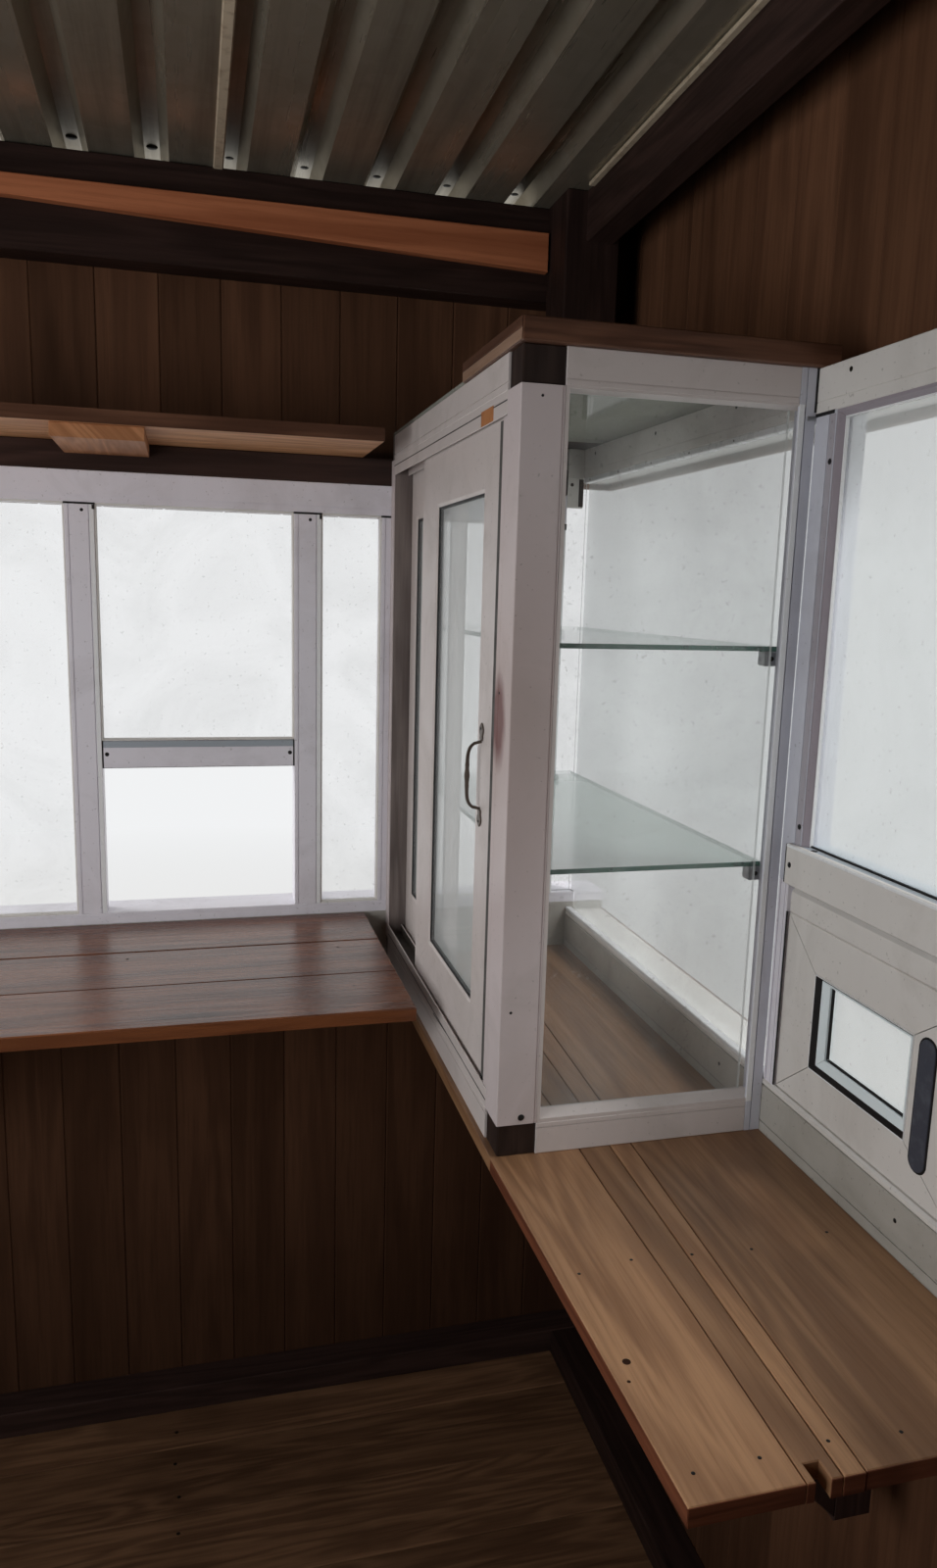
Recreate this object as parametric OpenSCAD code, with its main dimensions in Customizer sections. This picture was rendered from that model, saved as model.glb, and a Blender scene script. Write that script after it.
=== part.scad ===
// Street kiosk: a timber hut with a glazed corner, fitted counters and a corner display case.
// Units are millimetres. Z is up, +Y is the street front, +X is the side with the long window.
// The origin is on the ground at the middle of the footprint.

/* [Hut] */
// Outside width across the cladding
kiosk_w = 2440; // [2300:10:3000]
// Outside depth across the cladding
kiosk_d = 2440; // [2300:10:3000]
// Thickness of the cladding boards
clad_t = 16; // [12:1:22]
// Depth of the window frames and headers behind the cladding
frame_zone = 75; // [65:1:90]
// Height of the roof underside above the floor, at the front cladding
roof_h = 2216; // [2200:1:2400]
// Fall of the roof towards the street, in degrees
roof_pitch = 1.5; // [0.5:0.5:3]
// Reach of the roof sheets past the cladding, on every side
roof_over = 150; // [90:5:200]

/* [Base] */
// Height of the timber bearers under the floor
bearer_h = 100; // [75:5:150]
// Width of each bearer
bearer_w = 75; // [50:5:100]
// Number of bearers
bearer_n = 4; // [3:1:5]
// Thickness of the floor boards
floor_t = 25; // [18:1:32]

/* [Timber frame] */
// Side of the square corner posts
post_w = 95; // [75:1:100]
// Thickness of the wall plates and girts
plate_t = 60; // [45:1:64]
// Height of the top plates
plate_h = 150; // [100:5:160]
// Height of the sole plates and girts
girt_h = 50; // [40:1:70]
// Thickness of the side rafters
rafter_t = 48; // [38:1:60]
// Height of the rafters and the purlin
rafter_h = 80; // [60:1:100]
// Height of the pale rail on the front plate, at its right end
rail_h = 62; // [40:1:75]
// Height of the pale rail over its left part
rail_thin = 31; // [25:1:40]
// Length of the part of the pale rail that grows towards its right end
rail_taper = 857; // [400:1:1200]
// Thickness of the pale rail
rail_t = 20; // [12:1:25]
// Drop of the pale rail below the top of the plate
rail_drop = 44; // [30:1:60]

/* [Roof sheets] */
// Thickness of the sheet
sheet_t = 2; // [1:0.5:3]
// Distance from rib to rib
rib_pitch = 120; // [100:5:150]
// Height of a rib
rib_h = 26; // [18:1:35]
// Width of a rib at its foot
rib_foot = 52; // [40:1:60]
// Width of a rib at its top
rib_top = 24; // [16:1:30]
// Distance of the right lap from the middle of the roof
lap_x = 515; // [455:5:575]
// Play between two sheets where they lap
lap_gap = 0.2; // [0.1:0.1:0.5]
// Ribs in one whole sheet
sheet_ribs = 8; // [7:1:9]

/* [Window band] */
// Height of the counters above the floor
counter_h = 900; // [850:1:950]
// Height of the rail between the counters and the frames
sill_rail_h = 60; // [40:1:80]
// Height of the front sill
sill_h = 20; // [12:1:40]
// Height of the right sill
right_sill_h = 10; // [8:1:35]
// Height of the front header above the floor, at its underside
front_head_z = 1691; // [1600:1:1740]
// Height of the right header above the floor, at its underside
right_head_z = 1772; // [1765:1:1800]
// Height of the header boxes
head_h = 50; // [40:1:60]
// Height of the dark lintel over the front header
lintel_h = 45; // [30:1:60]
// Depth of the mullions and transoms
frame_d = 40; // [30:1:50]
// Width of the front mullions
mullion_w = 46; // [35:1:60]
// Distance from mullion to mullion along the front
bay_w = 366; // [330:1:380]
// Width of the narrow bay beside the display case
narrow_bay = 104; // [80:1:130]
// Reach of the mullion at the case past the case's left face
mullion_set = 16; // [4:1:23]
// Width of the last upright of the window band, before the glazed corner
corner_w = 50; // [40:1:70]
// Width of the glass between that upright and the inner corner
corner_lite = 30; // [20:1:50]
// Length of the block at the head of the glazed corner
corner_block_h = 52; // [30:1:80]
// Height of the hatch opening over the front sill
hatch_h = 253; // [200:1:320]
// Height of the hatch transom
transom_h = 46; // [35:1:60]
// Thickness of the window glass
glass_t = 5; // [4:1:6]
// Set-back of the window glass from the inner face
glass_set = 12; // [8:1:20]
// Length of the right window, from the front corner
right_win_l = 1401; // [1300:1:1500]
// Width of the mullion and jamb in the right window
right_mullion_w = 40; // [30:1:50]
// Height of the right transom above the floor, at its underside
right_transom_z = 1221; // [1190:1:1260]
// Height of the right transom
right_transom_h = 50; // [40:1:60]
// Reach of the right transom past the mullion's face
transom_proud = 8; // [2:1:15]
// Width of the mullion and jamb beside the sashes
right_jamb_w = 21; // [15:1:30]
// Height of the track over the sashes
sash_track_h = 26; // [15:1:35]

/* [Right sashes] */
// Lap of the two sashes at the middle of their window
sash_lap = 20; // [10:1:40]
// Thickness of a sash
sash_t = 14; // [10:1:16]
// Width of the sash profile at the bottom
sash_rail = 60; // [45:1:70]
// Width of the sash profile at the top
sash_top = 53; // [45:1:70]
// Width of the sash stile that carries the pull
sash_stile = 78; // [70:1:90]
// Width of the other sash stile
sash_back = 74; // [45:1:80]
// Height of the flush pull
pull_h = 144; // [100:1:170]
// Width of the flush pull
pull_w = 28; // [18:1:32]

/* [Counters and shelf] */
// Thickness of the boards of the right counter
counter_t = 18; // [16:1:32]
// Thickness of the boards of the front counter
front_counter_t = 20; // [16:1:32]
// Height of the front counter over the right one
front_rise = 85; // [60:1:120]
// Depth of the front counter
front_counter_d = 470; // [400:1:520]
// Gap between the front counter and the display case
front_counter_gap = 40; // [20:1:60]
// Length of the right counter, from the front windows
right_counter_l = 1249; // [1000:1:1350]
// Overhang of the right counter past the display case
counter_lip = 6; // [0:1:20]
// Width of the notch in the near end of the right counter
notch_w = 14; // [8:1:30]
// Depth of the notch
notch_d = 18; // [8:1:40]
// Distance of the notch from the left edge of the right counter
notch_x = 111; // [60:1:150]
// Side of the timber under the counters
ledger_w = 45; // [30:1:60]
// Distance of the first bracket from the end of its counter
bracket_in = 250; // [200:10:300]
// Set-back of the brackets behind the edge of the front counter
bracket_set = 90; // [60:10:150]
// Distance from bracket to bracket under the front counter
bracket_pitch = 700; // [600:10:800]
// Distance from bracket to bracket under the right counter
bracket_pitch_right = 550; // [450:10:600]
// Depth of the shelf, from the front cladding
shelf_d = 281; // [200:1:320]
// Room left at the end of the shelf and the front counter, beside the corner post
end_gap = 4; // [2:1:10]
// Thickness of the shelf board
shelf_t = 20; // [16:1:28]
// Gap between the shelf and the display case
shelf_gap = 49; // [30:1:80]
// Width of a cleat under the shelf
cleat_w = 130; // [80:1:180]
// Set-back of the cleats behind the shelf edge
cleat_set = 10; // [5:1:40]
// Distance from cleat to cleat
cleat_pitch = 640; // [500:5:700]
// Distance from the first cleat to the narrow bay
cleat_in = 232; // [150:2:300]

/* [Display case] */
// Width of the case, across its narrow face
case_w = 350; // [320:1:380]
// Depth of the case, along the right window
case_d = 740; // [650:1:800]
// Side of the timber posts of the case
case_post = 50; // [50:1:60]
// Width of the far jamb of the case, at the front windows
case_jamb = 24; // [20:1:30]
// Thickness of the aluminium cover on a post
cover_t = 2; // [1:0.5:3]
// Reach of the cover's lip over the near door
cover_lip = 13; // [5:1:20]
// Bare timber left at the foot and the head of a post
cover_gap = 40; // [20:1:60]
// Height of the rails round the case
case_rail_h = 40; // [30:1:50]
// Width of the end profile beside the right window
case_end_w = 22; // [16:1:30]
// Thickness of the top board
case_board_t = 25; // [18:1:32]
// Overhang of the top board at the near side
case_board_over = 9; // [5:1:30]
// Depth of the top board
case_board_d = 250; // [180:1:320]
// Height of the lower glass shelf over the counter
case_shelf_1 = 335; // [280:1:380]
// Height of the upper glass shelf over the counter
case_shelf_2 = 603; // [540:1:660]
// Thickness of the glass shelves
case_shelf_t = 6; // [5:1:8]
// Side of the small blocks that carry the glass shelves
clip_w = 18; // [12:1:24]

/* [Case doors] */
// Width of the near sliding door
near_door_w = 456; // [380:1:460]
// Width of the far sliding door
far_door_w = 335; // [320:1:400]
// Thickness of a sliding door
door_t = 12; // [10:1:14]
// Space kept round a moving door
door_clear = 5; // [5:1:6]
// Thickness of the track lips
lip_t = 2; // [1.5:0.5:3]
// Height of the track lips
lip_h = 20; // [16:1:26]
// Width of the near door's stile with the handle
stile_handle = 109; // [70:1:115]
// Width of the near door's other stile
stile_wide = 100; // [80:1:110]
// Width of the far door's near stile
stile_mid = 58; // [45:1:70]
// Width of the far door's far stile
stile_thin = 40; // [30:1:50]
// Height of the door's bottom rail
door_rail_low = 80; // [60:1:90]
// Height of the door's top rail
door_rail_top = 84; // [60:1:95]
// Thickness of the glass in the doors
door_glass_t = 4; // [3:1:5]
// Distance between the feet of the handle
handle_l = 88; // [80:1:128]
// Reach of the handle from the door
handle_reach = 22; // [16:1:30]
// Thickness of the handle bar
handle_d = 6; // [5:1:8]

/* [Entrance] */
// Width of the doorway
doorway_w = 760; // [650:5:800]
// Height of the doorway
doorway_h = 1950; // [1850:5:2000]
// Distance of the doorway from the middle of the rear wall
doorway_x = 420; // [380:5:500]
// Thickness of the door boards
leaf_t = 20; // [16:1:24]
// Thickness of the ledges on the door
ledge_t = 22; // [16:1:26]
// Height of a ledge
ledge_h = 100; // [80:1:120]
// Space round the door leaf
leaf_gap = 5; // [3:1:6]
// Length of the hinge straps on the leaf
strap_l = 200; // [150:5:300]
// Thickness of the hinge straps
strap_t = 4; // [3:1:5]

/* [Hidden] */
$fn = 32;
eps = 1;

// Planes of the hut, measured from its middle
out_x = kiosk_w / 2;
out_y = kiosk_d / 2;
clad_x = out_x - clad_t;
clad_y = out_y - clad_t;
win_x = clad_x - frame_zone;
win_y = clad_y - frame_zone;
plate_x = clad_x - plate_t;
plate_y = clad_y - plate_t;
band_x = -plate_x + post_w;

// Levels above the ground
floor_z = bearer_h + floor_t;
counter_z = floor_z + counter_h;
sill_z = counter_z + sill_rail_h;
front_z = counter_z + front_rise;
front_sill_top = front_z + sill_h;
front_head = floor_z + front_head_z;
right_head = floor_z + right_head_z;
right_head_top = right_head + head_h;
lintel_z = front_head + head_h;
shelf_z = lintel_z + lintel_h;
roof_z = floor_z + roof_h;
tall = roof_z + 2 * plate_h;

// Display case, in the front right corner
case_x = win_x - case_w;
case_y = win_y - case_d;
case_top = right_head_top;
case_in_x = case_x + case_post;
case_in_y = case_y + case_post;
case_far_y = win_y - case_jamb;

// Doors of the case, which run along Y in two tracks
near_door_x = case_x + lip_t + door_clear;
far_door_x = near_door_x + door_t + lip_t + 2 * door_clear;
track_w = far_door_x + door_t + door_clear + lip_t - case_x;
near_door_y = case_in_y + door_clear;
far_door_y = case_far_y - door_clear - far_door_w;
track_low = counter_z + case_rail_h + lip_h / 2;
track_high = case_top - case_rail_h - lip_h / 2;
door_low = track_low + door_clear;
door_high = track_high - door_clear;
door_hgt = door_high - door_low;

// Right window
right_near_y = win_y - right_win_l;
right_mull_y = case_y - right_mullion_w;
transom_z = floor_z + right_transom_z;
transom_top = transom_z + right_transom_h;
sashes_y0 = right_near_y + right_jamb_w;
sashes_y1 = case_y - right_jamb_w;

// Glazed corner: the front header, its lintel and the last upright end here
corner_x = win_x - corner_lite;

// Front window: the right mullion stands in line with the case, the next one leaves a narrow bay
case_mull_x = case_x - mullion_set;
first_mull_x = case_mull_x - mullion_w - narrow_bay;
bays = floor((first_mull_x - band_x - 2 * mullion_w) / bay_w);
hatch_z = front_sill_top + hatch_h;

// Doorway in the rear wall
way_x0 = doorway_x - doorway_w / 2;
way_x1 = doorway_x + doorway_w / 2;
way_top = floor_z + doorway_h;

// Box from its low corner to its high corner
module span(lo, hi) { translate(lo) cube(hi - lo); }

// Space above the underside of the roof, tilted with it
module over_roof() {
  translate([0, clad_y, roof_z]) rotate([-roof_pitch, 0, 0])
    translate([-kiosk_w, -2 * kiosk_d, 0]) cube([2 * kiosk_w, 4 * kiosk_d, tall]);
}

// A timber cut off at the roof underside
module under_roof() { difference() { children(); over_roof(); } }

module base_bearers() {
  step = (2 * clad_x - bearer_w) / (bearer_n - 1);
  color("saddlebrown") for (i = [0 : bearer_n - 1])
    translate([-clad_x + i * step, -clad_y, 0]) cube([bearer_w, 2 * clad_y, bearer_h]);
}

module floor_deck() {
  color("peru") span([-clad_x, -clad_y, bearer_h], [clad_x, clad_y, floor_z]);
}

// The front right post stands on the right header, over the glazed corner
module corner_posts() {
  color([0.2, 0.13, 0.1]) under_roof() for (sx = [-1, 1], sy = [-1, 1]) {
    foot = (sx > 0 && sy > 0) ? right_head_top : floor_z;
    translate([sx * (plate_x - post_w / 2) - post_w / 2, sy * (plate_y - post_w / 2) - post_w / 2, foot])
      cube([post_w, post_w, tall - foot]);
  }
}

module sole_plates() {
  top = floor_z + girt_h;
  color("sienna") {
    span([-clad_x, plate_y, floor_z], [clad_x, clad_y, top]);
    span([-clad_x, -clad_y, floor_z], [way_x0 - plate_t, -plate_y, top]);
    span([way_x1 + plate_t, -clad_y, floor_z], [clad_x, -plate_y, top]);
    for (sx = [-1, 1])
      translate([sx * (plate_x + plate_t / 2) - plate_t / 2, -plate_y + eps, floor_z])
        cube([plate_t, 2 * plate_y - 2 * eps, girt_h]);
  }
}

// Girts under the counters, which the boards are nailed to, and a stud beside the right window
module wall_girts() {
  z1 = counter_z - counter_t;
  z0 = z1 - girt_h;
  color("sienna") {
    span([-clad_x, plate_y, z0], [clad_x, clad_y, z1]);
    span([-clad_x, -clad_y, z0], [way_x0 - plate_t, -plate_y, z1]);
    span([way_x1 + plate_t, -clad_y, z0], [clad_x, -plate_y, z1]);
    for (sx = [-1, 1])
      translate([sx * (plate_x + plate_t / 2) - plate_t / 2, -plate_y + eps, z0])
        cube([plate_t, 2 * plate_y - 2 * eps, girt_h]);
    span([plate_x, right_near_y - plate_t, z1 + eps], [clad_x, right_near_y, right_head_top]);
  }
}

module top_plates() {
  color([0.22, 0.14, 0.1]) under_roof() for (sy = [-1, 1]) {
    low = sy > 0 ? roof_z - plate_h : roof_z + 2 * clad_y * tan(roof_pitch) - plate_h;
    translate([-clad_x, sy * (plate_y + plate_t / 2) - plate_t / 2, low])
      cube([2 * clad_x, plate_t, 2 * plate_h]);
  }
}

// Sloping timber under the sheets, from front to rear
module sloping(x0, w, y0, y1) {
  difference() {
    span([x0, y0, floor_z + counter_h], [x0 + w, y1, tall]);
    over_roof();
    translate([0, clad_y, roof_z]) rotate([-roof_pitch, 0, 0])
      translate([-kiosk_w, -2 * kiosk_d, -tall - rafter_h]) cube([2 * kiosk_w, 4 * kiosk_d, tall]);
  }
}

module side_rafters() {
  reach = plate_y - post_w;
  inset = plate_x - 12;
  color([0.25, 0.17, 0.12]) {
    sloping(inset - rafter_t, rafter_t, -reach, reach);
    sloping(-inset, rafter_t, -reach, reach);
  }
}

module roof_purlin() {
  inset = plate_x - 12 - rafter_t;
  color([0.25, 0.17, 0.12]) sloping(-inset, 2 * inset, -rafter_t / 2, rafter_t / 2);
}

// Outline of a sheet from one rib to another, seen along the slope; x = 0 is the first rib
function rib_line(n, lead, tail) = concat(
  [[-lead, 0]],
  [for (i = [0 : n - 1]) each [
    [i * rib_pitch - rib_foot / 2, 0], [i * rib_pitch - rib_top / 2, rib_h],
    [i * rib_pitch + rib_top / 2, rib_h], [i * rib_pitch + rib_foot / 2, 0]]],
  [[(n - 1) * rib_pitch + tail, 0]]);

module roof_sheet(x0, n, lead, tail, lift) {
  low = rib_line(n, lead, tail);
  high = [for (i = [len(low) - 1 : -1 : 0]) [low[i][0], low[i][1] + sheet_t]];
  reach = out_y + roof_over;
  color([0.62, 0.63, 0.62]) intersection() {
    translate([x0, clad_y, roof_z]) rotate([-roof_pitch, 0, 0])
      translate([0, 2 * kiosk_d, lift]) rotate([90, 0, 0])
        linear_extrude(4 * kiosk_d) polygon(concat(low, high));
    translate([-kiosk_w, -reach, 0]) cube([2 * kiosk_w, 2 * reach, tall + plate_h]);
  }
}

cover = sheet_ribs * rib_pitch;
roof_x = out_x + roof_over;
lap_tail = rib_foot / 2 + 8;

module roof_sheet_middle() {
  roof_sheet(lap_x - cover, sheet_ribs + 1, lap_tail, lap_tail, sheet_t + lap_gap);
}

module roof_sheet_right() {
  n = floor((roof_x - lap_x - rib_foot / 2) / rib_pitch) + 1;
  roof_sheet(lap_x, n, lap_tail, roof_x - lap_x - (n - 1) * rib_pitch, 0);
}

module roof_sheet_left() {
  left = lap_x - cover;
  n = floor((roof_x + left - rib_foot / 2) / rib_pitch) + 1;
  roof_sheet(left - (n - 1) * rib_pitch, n, roof_x + left - (n - 1) * rib_pitch, lap_tail, 0);
}

// Pale batten nailed along the face of the front plate, sawn deeper towards the right
module front_rail() {
  z1 = roof_z - rail_drop;
  x0 = -plate_x + post_w + 4;
  x1 = plate_x - post_w - 4;
  xm = x1 - rail_taper;
  color([0.72, 0.45, 0.24]) translate([0, plate_y, 0]) rotate([90, 0, 0]) linear_extrude(rail_t)
    polygon([[x0, z1 - 4], [xm, z1 - 4], [x1, z1],
             [x1, z1 - rail_h], [xm, z1 - 4 - rail_thin], [x0, z1 - 4 - rail_thin]]);
}

module front_lintel() {
  color([0.2, 0.13, 0.1]) span([band_x, win_y, lintel_z], [corner_x, clad_y, shelf_z]);
}

// Boards round the window band, which runs out at the glazed corner
module front_wall() {
  color([0.42, 0.22, 0.14]) under_roof() difference() {
    span([-out_x, clad_y, bearer_h], [out_x, out_y, tall]);
    span([band_x + mullion_w / 2, clad_y - eps, front_z], [out_x + eps, out_y + eps, front_head]);
    span([corner_x, clad_y - eps, front_head - eps], [out_x + eps, out_y + eps, right_head - 10]);
  }
}

module right_wall() {
  color([0.42, 0.22, 0.14]) under_roof() difference() {
    span([clad_x, -clad_y, bearer_h], [out_x, clad_y, tall]);
    span([clad_x - eps, right_near_y, sill_z], [out_x + eps, out_y, right_head - 10]);
  }
}

module left_wall() {
  color([0.42, 0.22, 0.14]) under_roof() span([-out_x, -clad_y, bearer_h], [-clad_x, clad_y, tall]);
}

module rear_wall() {
  color([0.42, 0.22, 0.14]) under_roof() difference() {
    span([-out_x, -out_y, bearer_h], [out_x, -clad_y, tall]);
    span([way_x0, -out_y - eps, floor_z], [way_x1, -clad_y + eps, way_top]);
  }
}

module door_frame() {
  color([0.25, 0.17, 0.12]) difference() {
    span([way_x0 - plate_t, -clad_y, floor_z], [way_x1 + plate_t, -plate_y, way_top + plate_t]);
    span([way_x0, -clad_y - eps, floor_z - eps], [way_x1, -plate_y + eps, way_top]);
  }
}

// Boarded leaf with three ledges and two braces on its inner face
module entrance_door() {
  x0 = way_x0 + leaf_gap;
  x1 = way_x1 - leaf_gap;
  z0 = floor_z + leaf_gap;
  z1 = way_top - leaf_gap;
  low = z0 + ledge_h;
  mid = (z0 + z1 - ledge_h) / 2;
  high = z1 - 2 * ledge_h;
  in_y = -out_y + leaf_t;
  color([0.38, 0.2, 0.13]) {
    span([x0, -out_y, z0], [x1, in_y, z1]);
    for (z = [low, mid, high]) span([x0 + 20, in_y, z], [x1 - 20, in_y + ledge_t, z + ledge_h]);
    for (pair = [[low, mid], [mid, high]])
      translate([0, in_y, 0]) rotate([90, 0, 0]) mirror([0, 0, 1])
        linear_extrude(ledge_t) polygon([
          [x0 + 40, pair[0] + ledge_h / 2], [x0 + 40 + ledge_h, pair[0] + ledge_h / 2],
          [x1 - 40, pair[1] + ledge_h / 2], [x1 - 40 - ledge_h, pair[1] + ledge_h / 2]]);
  }
}

// Strap hinges over the gap at the right edge of the leaf
module door_hinges() {
  z0 = floor_z + leaf_gap + 1.5 * ledge_h;
  z1 = way_top - leaf_gap - 1.5 * ledge_h;
  color("dimgray") for (z = [z0, (z0 + z1) / 2, z1]) {
    rotate([90, 0, 0]) translate([0, 0, out_y]) linear_extrude(strap_t)
      polygon([[way_x1 - strap_l, z - 8], [way_x1 - 14, z - 18], [way_x1 - 14, z + 18], [way_x1 - strap_l, z + 8]]);
    span([way_x1 - 14, -out_y - strap_t, z - 18], [way_x1 + plate_t * 0.75, -out_y, z + 18]);
    translate([way_x1 - leaf_gap / 2, -out_y - 5, z - 18]) cylinder(d = 10, h = 36);
  }
}

// The right header turns the corner, where a small block hangs in front of the glass
module window_headers() {
  color("gainsboro") {
    span([band_x, win_y, front_head], [corner_x, clad_y, lintel_z]);
    span([win_x, right_near_y, right_head], [clad_x, clad_y, right_head_top]);
    span([corner_x, win_y, right_head], [win_x + eps, clad_y, right_head_top]);
    span([corner_x, win_y, right_head - corner_block_h], [win_x, win_y + glass_set, right_head + eps]);
  }
}

// Timber between the counters and the window frames, round the glazed corner
module sill_rail() {
  z0 = counter_z - counter_t;
  color("silver") {
    span([band_x, win_y, z0], [clad_x, clad_y, front_z]);
    span([win_x, right_near_y, z0], [clad_x, win_y, sill_z]);
  }
}

module window_sills() {
  color("gainsboro") {
    span([band_x, win_y, front_z], [clad_x, clad_y, front_sill_top]);
    span([win_x, right_near_y, sill_z], [clad_x, win_y - eps, sill_z + right_sill_h]);
  }
}

function front_mullions() = concat(
  [case_mull_x], [for (i = [0 : bays]) first_mull_x - i * bay_w]);

module window_mullions() {
  z0 = front_sill_top;
  z2 = sill_z + right_sill_h;
  color("gainsboro") {
    for (x = front_mullions()) span([x, win_y, z0], [x + mullion_w, win_y + frame_d, front_head]);
    span([band_x, win_y, z0], [band_x + mullion_w, clad_y, front_head]);
    span([corner_x - corner_w, win_y, z0], [corner_x, clad_y, front_head]);
    difference() {
      for (y = [right_mull_y, right_near_y])
        span([win_x, y, z2], [win_x + frame_d, y + right_mullion_w, right_head]);
      span([win_x - eps, sashes_y0, z2 - eps], [win_x + frame_d + eps, sashes_y1, transom_z]);
    }
  }
}

module window_transoms() {
  x0 = first_mull_x - bay_w + mullion_w;
  y0 = right_near_y + right_mullion_w;
  color("gainsboro") {
    span([x0, win_y, hatch_z], [first_mull_x, win_y + frame_d, hatch_z + transom_h]);
    span([win_x - transom_proud, sashes_y0, transom_z], [win_x, sashes_y1, transom_top]);
    span([win_x - eps, y0, transom_z - eps], [win_x + frame_d, right_mull_y, transom_top]);
    span([win_x + 2, sashes_y0, sash_high], [win_x + frame_d, sashes_y1, transom_z]);
  }
}

// One pane in each bay; the bay under the hatch transom stays open
module window_glass() {
  xs = concat([corner_x - corner_w], front_mullions(), [band_x]);
  y = win_y + glass_set;
  z0 = front_sill_top;
  gx = win_x + glass_set;
  color([0.75, 0.85, 0.87, 0.4]) {
    for (i = [0 : len(xs) - 2]) {
      low = i == 2 ? hatch_z + transom_h : z0;
      span([xs[i + 1] + mullion_w, y, low], [xs[i], y + glass_t, front_head]);
    }
    span([gx, case_y, sill_z + right_sill_h], [gx + glass_t, win_y - eps, right_head]);
    span([gx, win_y - 2 * eps, z0], [gx + glass_t, y + glass_t, right_head]);
    span([corner_x, y, z0], [gx - eps, y + glass_t, right_head]);
    span([gx, right_near_y + right_mullion_w, transom_top], [gx + glass_t, right_mull_y, right_head]);
    for (i = [0, 1]) sash_pane(i, sash_x(i) + (sash_t - glass_t) / 2, glass_t);
  }
}

// Two sashes below the right transom, the first one at the display case
sash_low = sill_z + right_sill_h;
sash_high = transom_z - sash_track_h;
sash_w = (sashes_y1 - sashes_y0 + sash_lap) / 2;
function sash_x(i) = win_x + 4 + i * (sash_t + 4);
function sash_y(i) = i == 0 ? sashes_y1 - sash_w : sashes_y0;

// The space inside the stiles and rails of a sash
module sash_pane(i, x, t) {
  translate([x, sash_y(i) + (i == 0 ? sash_stile : sash_back), sash_low + sash_rail])
    cube([t, sash_w - sash_stile - sash_back, sash_high - sash_low - sash_rail - sash_top]);
}

module right_sashes() {
  mid_z = (sash_low + sash_high) / 2 - 10;
  color("whitesmoke") for (i = [0, 1]) difference() {
    translate([sash_x(i), sash_y(i), sash_low]) cube([sash_t, sash_w, sash_high - sash_low]);
    sash_pane(i, sash_x(i) - eps, sash_t + 2 * eps);
    translate([sash_x(i) - eps, sash_y(i) + (i == 0 ? 1 : 0) * sash_stile * 0.7
      + (i == 0 ? 0 : 1) * (sash_w - sash_stile * 0.7), mid_z]) rotate([0, 90, 0]) linear_extrude(sash_t / 2)
        slot(pull_h, pull_w);
  }
}

// Slot with round ends, along X
module slot(l, w) {
  square([l - w, w], center = true);
  for (s = [-1, 1]) translate([s * (l - w) / 2, 0]) circle(d = w);
}

module front_counter() {
  color([0.48, 0.27, 0.16])
    span([band_x + end_gap, win_y - front_counter_d, front_z - front_counter_t],
         [case_x - front_counter_gap, win_y, front_z]);
}

module right_counter() {
  near = win_y - right_counter_l;
  left = case_x - counter_lip;
  color([0.76, 0.56, 0.36]) difference() {
    span([left, near, counter_z - counter_t], [win_x, win_y, counter_z]);
    translate([left + notch_x, near - eps, counter_z - counter_t - eps])
      cube([notch_w, notch_d + eps, counter_t + 2 * eps]);
  }
}

// Ledgers on the walls, and raking brackets between them under the open edges of the counters
module counter_supports() {
  w = ledger_w;
  z0 = front_z - front_counter_t;
  z1 = counter_z - counter_t;
  near = win_y - right_counter_l;
  left = band_x + end_gap;
  right = case_x - front_counter_gap;
  xs = [left + bracket_in : bracket_pitch : right - bracket_pitch / 2];
  ys = [near + bracket_in : bracket_pitch_right : plate_y - bracket_pitch_right / 2];
  color([0.3, 0.18, 0.12]) {
    difference() {
      span([left, win_y - w, z0 - w], [right, win_y, z0]);
      for (x = xs) span([x - eps, win_y - w - eps, z0 - w - eps], [x + w + eps, win_y + eps, z0 + eps]);
    }
    difference() {
      span([plate_x - w, near + w, z1 - w], [plate_x, plate_y - w - eps, z1]);
      for (y = ys) span([plate_x - w - eps, y - eps, z1 - w - eps], [plate_x + eps, y + w + eps, z1 + eps]);
    }
    for (x = xs) bracket([x, win_y, z0], 0, front_counter_d - bracket_set);
    for (y = ys) bracket([plate_x, y + w, z1], -90, case_w - w);
  }
}

// Raking bracket: an upright on the wall, an arm under the counter and a strut between them
module bracket(at, turn, arm) {
  w = ledger_w;
  translate(at) rotate([0, 0, turn]) rotate([90, 0, 90]) linear_extrude(w) difference() {
    polygon([[0, 0], [-arm, 0], [-arm, -w / 2], [-w, -arm], [0, -arm]]);
    polygon([[-w, -w], [-arm * 0.66, -w], [-w, -arm * 0.66]]);
  }
}

module wall_shelf() {
  color([0.72, 0.55, 0.36])
    span([band_x + end_gap, clad_y - shelf_d, shelf_z], [case_x - shelf_gap, clad_y, shelf_z + shelf_t]);
}

module shelf_cleats() {
  y0 = clad_y - shelf_d + cleat_set;
  x1 = first_mull_x - cleat_in;
  n = floor((x1 - cleat_w - band_x - end_gap) / cleat_pitch);
  color([0.75, 0.56, 0.36]) for (i = [0 : n])
    span([x1 - i * cleat_pitch - cleat_w, y0, shelf_z - shelf_t], [x1 - i * cleat_pitch, win_y, shelf_z]);
}

// Near left post of the case, and the jamb where its left face meets the front windows
module case_posts() {
  color([0.15, 0.11, 0.1]) {
    span([case_x + cover_t, case_y + cover_t, counter_z], [case_in_x, case_in_y - cover_t, case_top]);
    span([case_x + cover_t, case_far_y, counter_z], [case_in_x, win_y, case_top]);
  }
}

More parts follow.
